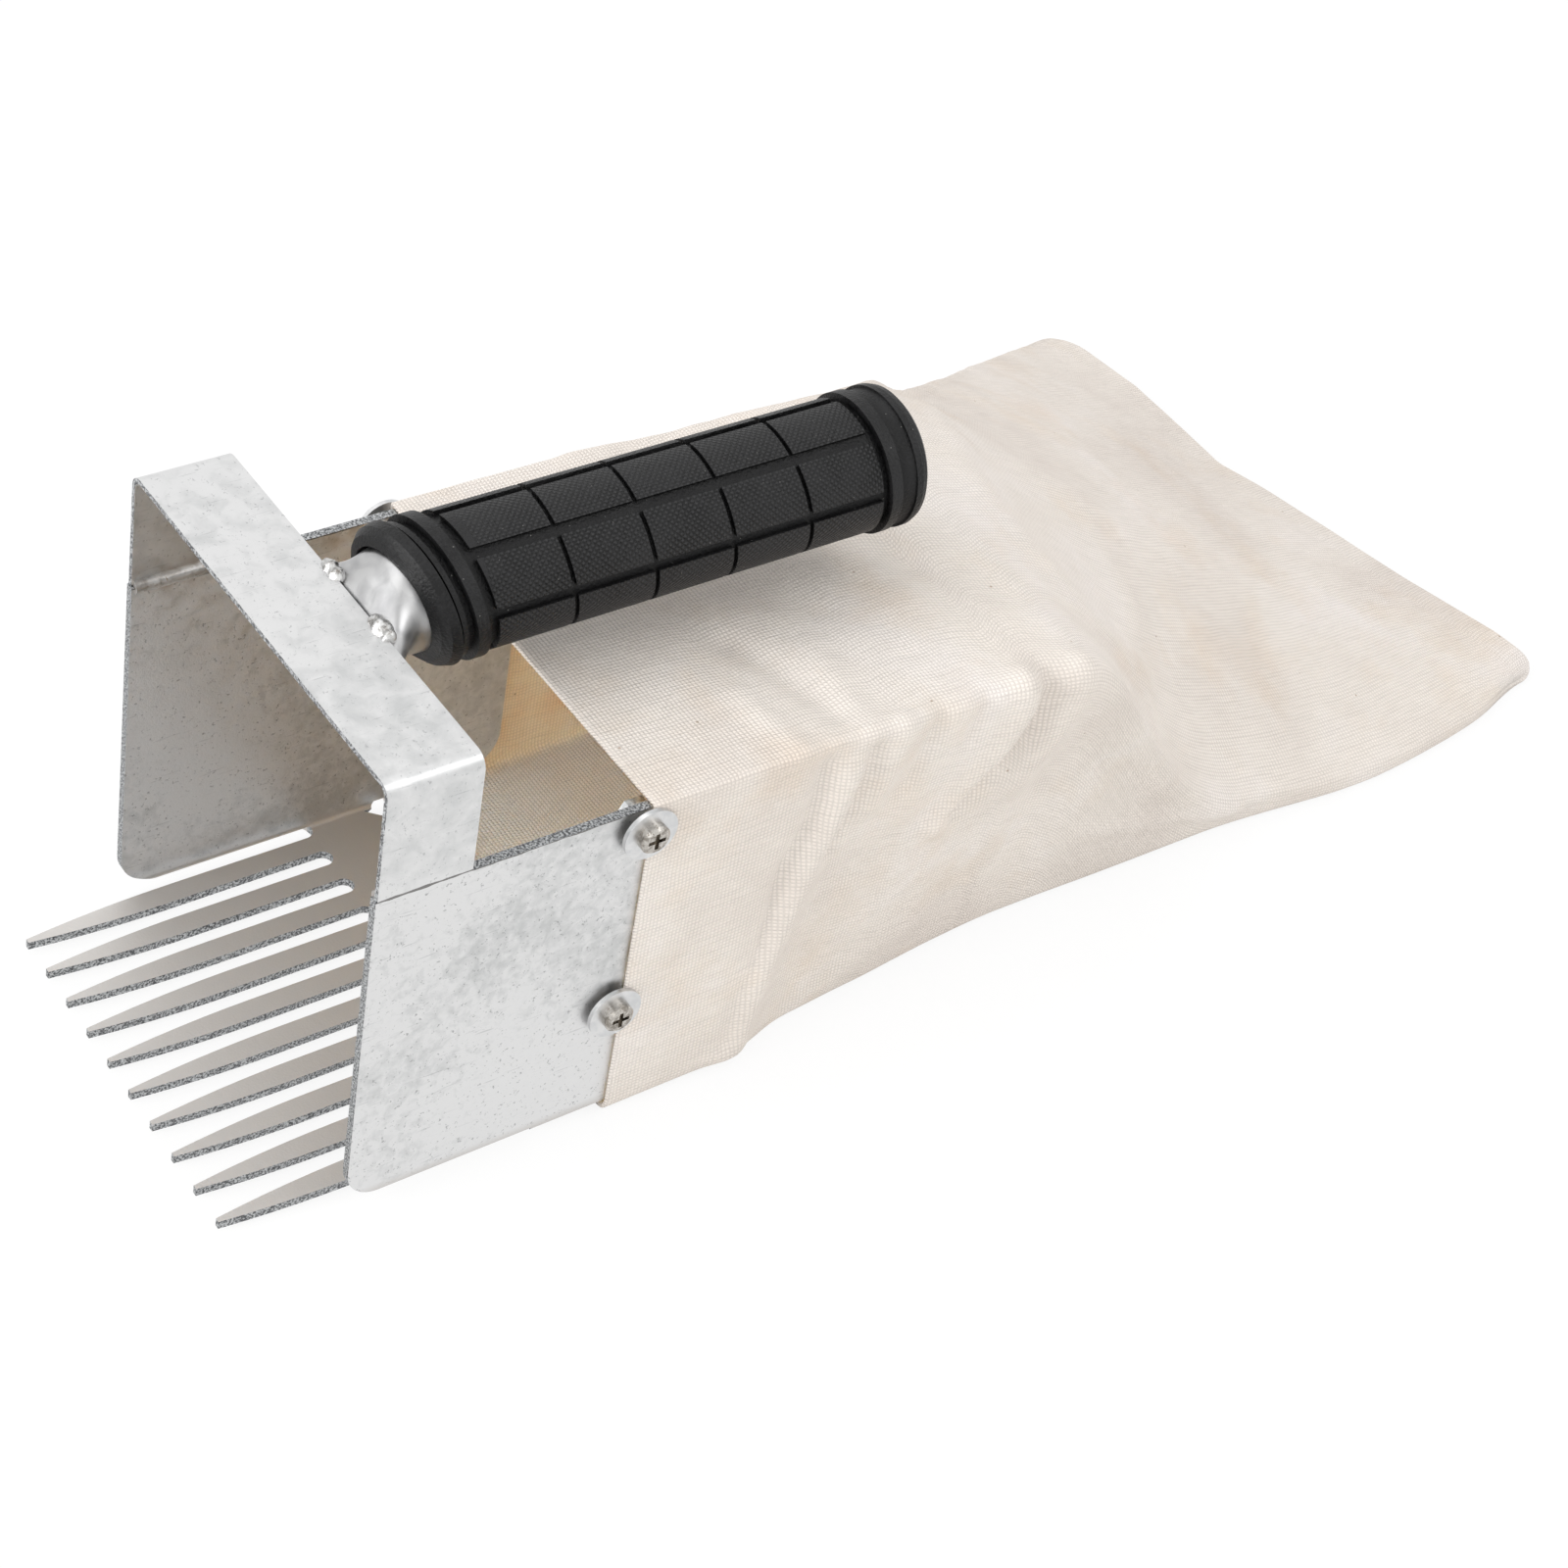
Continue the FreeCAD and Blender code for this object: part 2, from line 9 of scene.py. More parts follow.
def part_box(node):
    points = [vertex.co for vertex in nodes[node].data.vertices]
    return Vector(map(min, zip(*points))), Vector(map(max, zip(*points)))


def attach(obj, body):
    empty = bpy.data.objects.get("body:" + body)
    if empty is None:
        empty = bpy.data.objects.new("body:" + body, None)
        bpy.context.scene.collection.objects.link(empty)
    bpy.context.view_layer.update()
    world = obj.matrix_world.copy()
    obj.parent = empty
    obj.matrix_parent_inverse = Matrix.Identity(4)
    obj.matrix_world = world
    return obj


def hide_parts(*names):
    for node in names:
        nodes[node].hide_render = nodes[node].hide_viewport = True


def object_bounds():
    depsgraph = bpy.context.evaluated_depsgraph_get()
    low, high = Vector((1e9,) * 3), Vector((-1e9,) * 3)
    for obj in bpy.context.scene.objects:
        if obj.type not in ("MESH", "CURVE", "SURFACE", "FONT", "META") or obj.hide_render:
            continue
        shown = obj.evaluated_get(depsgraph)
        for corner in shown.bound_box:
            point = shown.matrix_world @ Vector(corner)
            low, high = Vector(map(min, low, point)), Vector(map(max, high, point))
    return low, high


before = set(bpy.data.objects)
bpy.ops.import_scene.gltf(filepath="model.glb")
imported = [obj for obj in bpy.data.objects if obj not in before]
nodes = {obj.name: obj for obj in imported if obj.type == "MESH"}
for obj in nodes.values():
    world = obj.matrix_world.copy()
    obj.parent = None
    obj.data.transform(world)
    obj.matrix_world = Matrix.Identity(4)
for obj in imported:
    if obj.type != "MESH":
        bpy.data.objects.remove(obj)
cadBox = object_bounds()
mm = 0.001


# sRGB hex, as a colour picker shows it, to the linear values that the shaders take
def linear(hexColour):
    parts = [int(hexColour[i:i + 2], 16) / 255 for i in (1, 3, 5)]
    return tuple(c / 12.92 if c <= 0.04045 else ((c + 0.055) / 1.055) ** 2.4 for c in parts) + (1,)


# Sets a node's inputs: a node gives its first output, a socket is linked, a hex colour is made
# linear, and any other value is set as it is
def feed(tree, node, inputs):
    for key, value in inputs.items():
        if isinstance(value, bpy.types.Node):
            value = value.outputs[0]
        if isinstance(value, bpy.types.NodeSocket):
            tree.links.new(value, node.inputs[key])
        else:
            node.inputs[key].default_value = linear(value) if isinstance(value, str) else value


# Adds a shader node with its settings and inputs; stops are those of a colour ramp
def add(tree, kind, inputs=None, stops=None, **settings):
    node = tree.nodes.new(kind)
    for name, value in settings.items():
        setattr(node, name, value)
    feed(tree, node, inputs or {})
    if stops:
        elements = node.color_ramp.elements
        while len(elements) < len(stops):
            elements.new(0.5)
        for element, (place, colour) in zip(elements, stops):
            element.position = place
            element.color = linear(colour) if isinstance(colour, str) else (colour, colour, colour, 1)
    return node


def newMaterial(name):
    material = bpy.data.materials.new(name)
    material.use_nodes = True
    tree = material.node_tree
    tree.nodes.clear()
    shader = add(tree, "ShaderNodeBsdfPrincipled")
    add(tree, "ShaderNodeOutputMaterial", {"Surface": shader}, name="surfaceOut")
    return material, tree, shader


# Materials. All sizes in the looks are millimetres, and stops are those of colour ramps.

# Most values of a noise texture lie between these two
noiseSpan = (0.3, 0.7)
# A face is turned toward an axis when its normal has more than this along it
turnedToward = 0.5

# Hot-dip galvanised steel sheet: zinc with soft grey mottling, fine dark pits and light scratches.
# Its cut edges were sheared after dipping, so they are darker and rough, with light specks in their
# grit that are painted glints. The comb and floor are painted duller: a painted reflection, for the
# darker surroundings that their upward faces mirror. Welding left brown patches inside, and the
# strip meets the wall in a thin dark joint that wanders a little.
galvanisedLook = dict(
    light="#DFDFDF", dark="#C6C7C7", mottleStops=(0.38, 0.53), mottleSize=2.6, cloudShare=14,
    pit="#7B7C7D", pitSize=0.9, pitStops=[(0.32, 0.6), (0.385, 0.0)],
    scratch="#8F9193", scratchSize=(0.35, 9, 0.56), scratchTurn=(0.35, 0.2, 0.3),
    scratchStops=[(0.67, 0.0), (0.76, 0.35)],
    # worn is the comb and floor's colour: a painted reflection, duller than the walls
    worn="#D0CDCA", paintedDullFloorAbove=(0.2, 2.5), wornRoughness=0.56,
    heatTint="#A08C74", tintReach=5.5, tintShare=0.75, tintPatch=6, tintStops=[(0.44, 0.0), (0.62, 1.0)],
    tintInside=49.4,
    joint="#55524F", jointShare=0.8, jointWander=5, jointNoise=(0.35, 0.65), jointWidth=(0.12, 0.42),
    edge="#5C5D5F", paintedEdgeGlint="#C6C8C9", edgeStops=(0.40, 0.62), edgeRoughness=0.55, gritSize=0.45,
    roughness=(0.34, 0.52), bump=0.22, bumpDepth=0.2,
)
# The strip's zinc is smoother, with larger and fainter mottling
stripLook = dict(galvanisedLook, mottleSize=5.0, roughness=(0.30, 0.42), bump=0.08, dark="#CDCECE",
                 pit="#A4A5A6")


# Zinc with its mottling, pits and scratches, and the mottling's own noise
def zincFace(tree, place, look):
    mottle = add(tree, "ShaderNodeTexNoise", {
        "Vector": place, "Scale": 1 / (look["mottleSize"] * mm), "Detail": 6.0, "Roughness": 0.62,
        "Distortion": 0.4})
    clouds = add(tree, "ShaderNodeTexNoise", {
        "Vector": place, "Scale": 1 / (look["cloudShare"] * look["mottleSize"] * mm), "Detail": 2.0})
    both = add(tree, "ShaderNodeMath", {0: mottle, 1: clouds}, operation="ADD")
    halved = add(tree, "ShaderNodeMath", {0: both, 1: 0.5}, operation="MULTIPLY")
    zinc = add(tree, "ShaderNodeValToRGB", {"Fac": halved},
               stops=list(zip(look["mottleStops"], (look["dark"], look["light"]))))
    pits = add(tree, "ShaderNodeTexNoise", {
        "Vector": place, "Scale": 1 / (look["pitSize"] * mm), "Detail": 3.0, "Roughness": 0.7})
    pitMask = add(tree, "ShaderNodeValToRGB", {"Fac": pits}, stops=look["pitStops"])
    pitted = add(tree, "ShaderNodeMixRGB", {"Fac": pitMask, "Color1": zinc, "Color2": look["pit"]})
    # noise drawn out along one direction and turned
    stretch = add(tree, "ShaderNodeMapping", {
        "Vector": place, "Scale": [1 / (size * mm) for size in look["scratchSize"]],
        "Rotation": look["scratchTurn"]})
    scratch = add(tree, "ShaderNodeTexNoise", {"Vector": stretch, "Scale": 1.0, "Detail": 2.0})
    scratchMask = add(tree, "ShaderNodeValToRGB", {"Fac": scratch}, stops=look["scratchStops"])
    scratched = add(tree, "ShaderNodeMixRGB", {
        "Fac": scratchMask, "Color1": pitted, "Color2": look["scratch"]})
    return scratched, mottle


# The heat tint and the joint line beside the seam, over another colour
def seamMarks(tree, place, xyz, under, look, seamHeight):
    above = add(tree, "ShaderNodeMath", {0: xyz.outputs[2], 1: seamHeight}, operation="SUBTRACT")
    away = add(tree, "ShaderNodeMath", {0: above}, operation="ABSOLUTE")
    reach = add(tree, "ShaderNodeMapRange", {
        "Value": away, "From Min": 0.0, "From Max": look["tintReach"] * mm, "To Min": look["tintShare"],
        "To Max": 0.0})
    patches = add(tree, "ShaderNodeTexNoise", {
        "Vector": place, "Scale": 1 / (look["tintPatch"] * mm), "Detail": 3.0})
    patchMask = add(tree, "ShaderNodeValToRGB", {"Fac": patches}, stops=look["tintStops"])
    sideways = add(tree, "ShaderNodeMath", {0: xyz.outputs[0]}, operation="ABSOLUTE")
    inside = add(tree, "ShaderNodeMath", {0: sideways, 1: look["tintInside"] * mm}, operation="LESS_THAN")
    nearSeam = add(tree, "ShaderNodeMath", {0: reach, 1: patchMask}, operation="MULTIPLY")
    tintShare = add(tree, "ShaderNodeMath", {0: nearSeam, 1: inside}, operation="MULTIPLY")
    tinted = add(tree, "ShaderNodeMixRGB", {"Fac": tintShare, "Color1": under, "Color2": look["heatTint"]})
    wander = add(tree, "ShaderNodeTexNoise", {
        "Vector": place, "Scale": 1 / (look["jointWander"] * mm), "Detail": 2.0})
    width = add(tree, "ShaderNodeMapRange", {
        "Value": wander, "From Min": look["jointNoise"][0], "From Max": look["jointNoise"][1],
        "To Min": look["jointWidth"][0] * mm, "To Max": look["jointWidth"][1] * mm})
    onJoint = add(tree, "ShaderNodeMath", {0: away, 1: width}, operation="LESS_THAN")
    jointShare = add(tree, "ShaderNodeMath", {0: onJoint, 1: look["jointShare"]}, operation="MULTIPLY")
    return add(tree, "ShaderNodeMixRGB", {"Fac": jointShare, "Color1": tinted, "Color2": look["joint"]})


def galvanisedSteel(name, look, edgeMask, floorTop, seamHeight):
    material, tree, shader = newMaterial(name)
    place = add(tree, "ShaderNodeTexCoord").outputs["Object"]
    xyz = add(tree, "ShaderNodeSeparateXYZ", {"Vector": place})
    zinc, mottle = zincFace(tree, place, look)
    # Painted reflection: near the floor's height the comb and floor take the duller worn colour
    low = add(tree, "ShaderNodeMapRange", {
        "Value": xyz.outputs[2], "From Min": floorTop + look["paintedDullFloorAbove"][0] * mm,
        "From Max": floorTop + look["paintedDullFloorAbove"][1] * mm, "To Min": 1.0, "To Max": 0.0})
    worn = add(tree, "ShaderNodeMixRGB", {"Fac": low, "Color1": zinc, "Color2": look["worn"]})
    marked = seamMarks(tree, place, xyz, worn, look, seamHeight)
    grit = add(tree, "ShaderNodeTexNoise", {
        "Vector": place, "Scale": 1 / (look["gritSize"] * mm), "Detail": 2.0})
    # painted glints: light specks in the cut edges' dark grit
    edgeColour = add(tree, "ShaderNodeValToRGB", {"Fac": grit},
                     stops=list(zip(look["edgeStops"], (look["edge"], look["paintedEdgeGlint"]))))
    mask = edgeMask(tree, xyz)
    colour = add(tree, "ShaderNodeMixRGB", {"Fac": mask, "Color1": marked, "Color2": edgeColour})
    rough = add(tree, "ShaderNodeMapRange", {
        "Value": mottle, "From Min": noiseSpan[0], "From Max": noiseSpan[1],
        "To Min": look["roughness"][0], "To Max": look["roughness"][1]})
    roughLow = add(tree, "ShaderNodeMix", {"Factor": low, "A": rough, "B": look["wornRoughness"]})
    roughAll = add(tree, "ShaderNodeMix", {"Factor": mask, "A": roughLow, "B": look["edgeRoughness"]})
    relief = add(tree, "ShaderNodeMath", {0: mottle, 1: grit}, operation="ADD")
    bump = add(tree, "ShaderNodeBump", {
        "Height": relief, "Strength": look["bump"], "Distance": look["bumpDepth"] * mm})
    feed(tree, shader, {"Base Color": colour, "Metallic": 1.0, "Roughness": roughAll, "Normal": bump})
    return material


# Cut edges of the bent sheet: on the walls all that doesn't face sideways, on the floor all that
# doesn't face up or down, and on the bend what faces neither way
shellEdgeLook = dict(bendHeight=3.2, sheetTop=0.3, combHalf=47.5)


def shellEdges(look, floorTop):
    def mask(tree, xyz):
        facing = add(tree, "ShaderNodeSeparateXYZ", {
            "Vector": add(tree, "ShaderNodeNewGeometry").outputs["True Normal"]})
        sideways = add(tree, "ShaderNodeMath", {0: facing.outputs[0]}, operation="ABSOLUTE")
        upright = add(tree, "ShaderNodeMath", {0: facing.outputs[2]}, operation="ABSOLUTE")
        onWall = add(tree, "ShaderNodeMath", {
            0: xyz.outputs[2], 1: floorTop + look["bendHeight"] * mm}, operation="GREATER_THAN")
        either = add(tree, "ShaderNodeMath", {0: sideways, 1: upright}, operation="MAXIMUM")
        bentFace = add(tree, "ShaderNodeMix", {"Factor": onWall, "A": either, "B": sideways})
        flatLow = add(tree, "ShaderNodeMath", {
            0: xyz.outputs[2], 1: floorTop + look["sheetTop"] * mm}, operation="LESS_THAN")
        fromMiddle = add(tree, "ShaderNodeMath", {0: xyz.outputs[0]}, operation="ABSOLUTE")
        inComb = add(tree, "ShaderNodeMath", {
            0: fromMiddle, 1: look["combHalf"] * mm}, operation="LESS_THAN")
        onFloor = add(tree, "ShaderNodeMath", {0: flatLow, 1: inComb}, operation="MULTIPLY")
        face = add(tree, "ShaderNodeMix", {"Factor": onFloor, "A": bentFace, "B": upright})
        return add(tree, "ShaderNodeMath", {0: face, 1: turnedToward}, operation="LESS_THAN")
    return mask


# Cut edges of the bridge strip: its faces toward the comb and the bag
def stripEdges(tree, xyz):
    facing = add(tree, "ShaderNodeSeparateXYZ", {
        "Vector": add(tree, "ShaderNodeNewGeometry").outputs["True Normal"]})
    along = add(tree, "ShaderNodeMath", {0: facing.outputs[1]}, operation="ABSOLUTE")
    return add(tree, "ShaderNodeMath", {0: along, 1: turnedToward}, operation="GREATER_THAN")


# What all bright metals share: the wave's stops, the stain's size as a share of the grain, and relief
metalWave = dict(stops=(0.35, 0.6), stainShare=0.5, stainStops=[(0.56, 0.0), (0.68, 0.8)], bumpDepth=0.3)
# Bright metals, each a clear but soft reflection over fine rub marks
metalLooks = dict(
    # steel tube, bright plated: smooth, with faint marks of the hand
    brightPlatedTube=dict(light="#C0C0C0", dark="#ACACAD", roughness=(0.30, 0.42), grain=5.0, bump=0.12),
    # weld run left as it froze: dull grey with brown scale
    seamWeldBead=dict(light="#C6C4C1", dark="#A5A09B", roughness=(0.34, 0.5), grain=2.2, bump=0.5,
                      stain="#85735F"),
    # tack weld: glassy lumps with dark scale between them
    weldBead=dict(light="#D2D2D1", dark="#8E8C89", roughness=(0.22, 0.45), grain=1.4, bump=0.9,
                  stain="#6B5F52"),
    # machine screw, nickel plated and shiny: its warm brownish tones and dark spots are painted reflection
    nickelScrewPaintedReflection=dict(light="#C4C0BA", dark="#8C867E", roughness=(0.14, 0.26), grain=1.2, bump=0.1,
                           stain="#6A5F53"),
    # stamped washer, zinc plated: pale and even
    zincPlatedWasher=dict(light="#DCDCDC", dark="#CBCCCD", roughness=(0.28, 0.40), grain=3.0, bump=0.1),
    # hexagon nut, zinc plated: greyer, handled with a spanner
    zincPlatedNut=dict(light="#CFD0D0", dark="#9FA1A2", roughness=(0.25, 0.4), grain=1.5, bump=0.2),
)


def brightMetal(name):
    look = metalLooks[name]
    material, tree, shader = newMaterial(name)
    place = add(tree, "ShaderNodeTexCoord").outputs["Object"]
    wave = add(tree, "ShaderNodeTexNoise", {
        "Vector": place, "Scale": 1 / (look["grain"] * mm), "Detail": 4.0, "Roughness": 0.55,
        "Distortion": 0.6})
    colour = add(tree, "ShaderNodeValToRGB", {"Fac": wave},
                 stops=list(zip(metalWave["stops"], (look["dark"], look["light"]))))
    if "stain" in look:
        spots = add(tree, "ShaderNodeTexNoise", {
            "Vector": place, "Scale": 1 / (metalWave["stainShare"] * look["grain"] * mm), "Detail": 5.0,
            "Roughness": 0.7})
        spotMask = add(tree, "ShaderNodeValToRGB", {"Fac": spots}, stops=metalWave["stainStops"])
        colour = add(tree, "ShaderNodeMixRGB", {"Fac": spotMask, "Color1": colour, "Color2": look["stain"]})
    rough = add(tree, "ShaderNodeMapRange", {
        "Value": wave, "From Min": noiseSpan[0], "From Max": noiseSpan[1],
        "To Min": look["roughness"][0], "To Max": look["roughness"][1]})
    bump = add(tree, "ShaderNodeBump", {
        "Height": wave, "Strength": look["bump"], "Distance": metalWave["bumpDepth"] * mm})
    feed(tree, shader, {"Base Color": colour, "Metallic": 1.0, "Roughness": rough, "Normal": bump})
    return material


# Moulded rubber, matte near-black with random greyer wear, and dust in its texture. The blocks have
# a diamond knurl; its real lines are 0.75 mm apart, drawn at 1 mm so that they show. Its crests are
# painted lighter grey, a painted highlight, and the grooves are painted black below the high parts,
# a painted shade.
rubberLook = dict(
    colour="#080809", worn="#1D1D1E", wornStops=(0.66, 0.95), grainSize=0.6, grainShare=0.6, cloudSize=9,
    # the grooves' near-black here is painted shade
    paintedGrooveShade="#040405", grooveDepth=(1.1, 0.15), crest="#2B2B2C", crestFrom=(0.3, 0.95),
    dust="#A09E9A", dustPitch=2.4, dustSize=0.05, dustShare=0.45,
    knurl=1.0, knurlDepth=0.25, relief=0.3, grainBump=0.8, roughness=(0.40, 0.54), ior=1.52, specular=0.27,
)


# Two crossing waves that wind round the grip, as a diamond pattern
def diamondKnurl(tree, xyz, up, look, gripRadius):
    angle = add(tree, "ShaderNodeMath", {0: xyz.outputs[0], 1: up}, operation="ARCTAN2")
    wayRound = add(tree, "ShaderNodeMath", {0: angle, 1: gripRadius}, operation="MULTIPLY")
    waves = []
    for operation in ("ADD", "SUBTRACT"):
        slant = add(tree, "ShaderNodeMath", {0: wayRound, 1: xyz.outputs[1]}, operation=operation)
        phase = add(tree, "ShaderNodeMath", {0: slant, 1: math.pi / (look["knurl"] * mm * math.sqrt(2))},
                    operation="MULTIPLY")
        waves.append(add(tree, "ShaderNodeMath", {0: phase}, operation="SINE"))
    product = add(tree, "ShaderNodeMath", {0: waves[0], 1: waves[1]}, operation="MULTIPLY")
    return add(tree, "ShaderNodeMath", {0: product}, operation="ABSOLUTE")


def mouldedRubber(name, look, axisHeight, gripRadius, bodyStart, bodyEnd):
    material, tree, shader = newMaterial(name)
    place = add(tree, "ShaderNodeTexCoord").outputs["Object"]
    xyz = add(tree, "ShaderNodeSeparateXYZ", {"Vector": place})
    up = add(tree, "ShaderNodeMath", {0: xyz.outputs[2], 1: axisHeight}, operation="SUBTRACT")
    knurl = diamondKnurl(tree, xyz, up, look, gripRadius)
    # the knurl is on the blocks alone: far enough from the axis, and between the rings
    squares = [add(tree, "ShaderNodeMath", {0: side, 1: 2.0}, operation="POWER")
               for side in (xyz.outputs[0], up)]
    radius2 = add(tree, "ShaderNodeMath", {0: squares[0], 1: squares[1]}, operation="ADD")
    onTop = add(tree, "ShaderNodeMath", {0: radius2, 1: (gripRadius - look["knurlDepth"] * mm) ** 2},
                operation="GREATER_THAN")
    after = add(tree, "ShaderNodeMath", {0: xyz.outputs[1], 1: bodyStart}, operation="GREATER_THAN")
    before = add(tree, "ShaderNodeMath", {0: xyz.outputs[1], 1: bodyEnd}, operation="LESS_THAN")
    inBody = add(tree, "ShaderNodeMath", {0: after, 1: before}, operation="MULTIPLY")
    mask = add(tree, "ShaderNodeMath", {0: onTop, 1: inBody}, operation="MULTIPLY")
    knurled = add(tree, "ShaderNodeMath", {0: knurl, 1: mask}, operation="MULTIPLY")
    grain = add(tree, "ShaderNodeTexNoise", {
        "Vector": place, "Scale": 1 / (look["grainSize"] * mm), "Detail": 3.0})
    cloud = add(tree, "ShaderNodeTexNoise", {
        "Vector": place, "Scale": 1 / (look["cloudSize"] * mm), "Detail": 3.0})
    grained = add(tree, "ShaderNodeMath", {0: grain, 1: look["grainShare"], 2: cloud},
                  operation="MULTIPLY_ADD")
    colour = add(tree, "ShaderNodeValToRGB", {"Fac": grained},
                 stops=list(zip(look["wornStops"], (look["colour"], look["worn"]))))
    # painted shade: the grooves, below the high parts, darken to near black
    high = add(tree, "ShaderNodeMapRange", {
        "Value": radius2, "From Min": (gripRadius - look["grooveDepth"][0] * mm) ** 2,
        "From Max": (gripRadius - look["grooveDepth"][1] * mm) ** 2})
    grooveShadedColour = add(tree, "ShaderNodeMixRGB", {"Fac": high, "Color1": look["paintedGrooveShade"], "Color2": colour})
    # painted highlight: the knurl's crests are lighter grey, where they catch the light
    crest = add(tree, "ShaderNodeMapRange", {
        "Value": knurled, "From Min": look["crestFrom"][0], "From Max": look["crestFrom"][1]})
    crested = add(tree, "ShaderNodeMixRGB", {"Fac": crest, "Color1": grooveShadedColour, "Color2": look["crest"]})
    specks = add(tree, "ShaderNodeTexVoronoi", {
        "Vector": place, "Scale": 1 / (look["dustPitch"] * mm), "Randomness": 1.0})
    onSpeck = add(tree, "ShaderNodeMath", {0: specks, 1: look["dustSize"]}, operation="LESS_THAN")
    dustShare = add(tree, "ShaderNodeMath", {0: onSpeck, 1: look["dustShare"]}, operation="MULTIPLY")
    dusty = add(tree, "ShaderNodeMixRGB", {"Fac": dustShare, "Color1": crested, "Color2": look["dust"]})
    rough = add(tree, "ShaderNodeMapRange", {
        "Value": cloud, "From Min": noiseSpan[0], "From Max": noiseSpan[1],
        "To Min": look["roughness"][0], "To Max": look["roughness"][1]})
    grainBump = add(tree, "ShaderNodeBump", {
        "Height": grain, "Strength": look["grainBump"], "Distance": look["relief"] * mm})
    bump = add(tree, "ShaderNodeBump", {
        "Height": knurled, "Strength": 1.0, "Distance": look["relief"] * mm, "Normal": grainBump})
    feed(tree, shader, {"Base Color": dusty, "Roughness": rough, "Normal": bump, "IOR": look["ior"],
                        "Specular IOR Level": look["specular"]})
    return material


# Undyed cotton canvas in a plain weave, with slubs, seed flecks and faint stains. The real threads
# are 0.5 mm apart, drawn at 0.9 mm so that they show. The outside is greyer. The inside is a lighter
# and warmer copy of the cloth, painted light standing in for the warm light that bounces inside the
# bag, and light passes through the cloth.
canvasLook = dict(
    thread=0.9, weaveDepth=0.3, weaveBump=0.7, wobbleSize=12, wobble=0.8, slubSize=(1.1, 9), slubShare=0.7,
    cloudSize=48, cloudStops=(0.36, 0.52, 0.70), gapHeights=(0.2, 1.1), paintedGapShade=(0.81, 1.04),
    stain="#F2DDC2", stainSize=30, stainFrom=(0.52, 0.72), fleck="#8A6B4A", fleckPitch=7, fleckSize=0.045,
    fleckChoice=0.62, fleckShare=0.55, fuzzSize=0.35, fuzzDepth=0.1, fuzzBump=0.2, roughness=0.92,
    specular=0.2,
    lightRadius=(1.0, 0.86, 0.68), lightReach=2,
)
outsideLook = dict(canvasLook, colours=("#DFD6CE", "#E6DED6", "#EBE4DF"), warmth=0.28, lightThrough=0.0)
# painted light: the inside is lighter and warmer than the outside, for the warm light bouncing inside the
# bag
glowPaintedInsideLook = dict(canvasLook, colours=("#F8E3CC", "#FAE9D7", "#FCEFE1"), warmth=0.5, lightThrough=0.9)


# Height of the crossing threads, with slubs along one of them
def plainWeave(tree, place, uv, look):
    cloth = add(tree, "ShaderNodeSeparateXYZ", {"Vector": uv})
    wobble = add(tree, "ShaderNodeTexNoise", {
        "Vector": place, "Scale": 1 / (look["wobbleSize"] * mm), "Detail": 1.0})
    threads = []
    for side in (cloth.outputs[0], cloth.outputs[1]):
        nudged = add(tree, "ShaderNodeMath", {0: wobble, 1: look["wobble"] * mm, 2: side},
                     operation="MULTIPLY_ADD")
        phase = add(tree, "ShaderNodeMath", {0: nudged, 1: math.pi / (look["thread"] * mm)},
                    operation="MULTIPLY")
        threads.append(add(tree, "ShaderNodeMath", {0: phase}, operation="SINE"))
    crossing = add(tree, "ShaderNodeMath", {0: threads[0], 1: threads[1]}, operation="MULTIPLY")
    pillow = add(tree, "ShaderNodeMath", {0: crossing}, operation="ABSOLUTE")
    slubWide, slubLong = look["slubSize"]
    stretch = add(tree, "ShaderNodeMapping", {
        "Vector": uv, "Scale": (1 / (slubWide * mm), 1 / (slubLong * mm), 1)})
    slub = add(tree, "ShaderNodeTexNoise", {"Vector": stretch, "Scale": 1.0, "Detail": 2.0})
    return add(tree, "ShaderNodeMath", {0: slub, 1: look["slubShare"], 2: pillow}, operation="MULTIPLY_ADD")


# The cloth's colour before its flecks: clouds, painted shade in the gaps between threads with a faint
# painted highlight on the thread tops, and stains
def clothColour(tree, place, height, look):
    clouds = add(tree, "ShaderNodeTexNoise", {
        "Vector": place, "Scale": 1 / (look["cloudSize"] * mm), "Detail": 4.0, "Roughness": 0.55,
        "Distortion": 0.5})
    base = add(tree, "ShaderNodeValToRGB", {"Fac": clouds},
               stops=list(zip(look["cloudStops"], look["colours"])))
    # painted shade: the gaps between threads are darkened, the thread tops slightly lightened
    gapShadeFactor = add(tree, "ShaderNodeMapRange", {
        "Value": height, "From Min": look["gapHeights"][0], "From Max": look["gapHeights"][1],
        "To Min": look["paintedGapShade"][0], "To Max": look["paintedGapShade"][1]})
    shaded = add(tree, "ShaderNodeMixRGB", {"Fac": 1.0, "Color1": base, "Color2": gapShadeFactor},
                 blend_type="MULTIPLY")
    stains = add(tree, "ShaderNodeTexNoise", {
        "Vector": place, "Scale": 1 / (look["stainSize"] * mm), "Detail": 5.0, "Roughness": 0.6, "W": 3.0},
        noise_dimensions="4D")
    stainMask = add(tree, "ShaderNodeValToRGB", {"Fac": stains},
                    stops=list(zip(look["stainFrom"], (0.0, look["warmth"]))))
    return add(tree, "ShaderNodeMixRGB", {"Fac": stainMask, "Color1": shaded, "Color2": look["stain"]},
               blend_type="MULTIPLY")


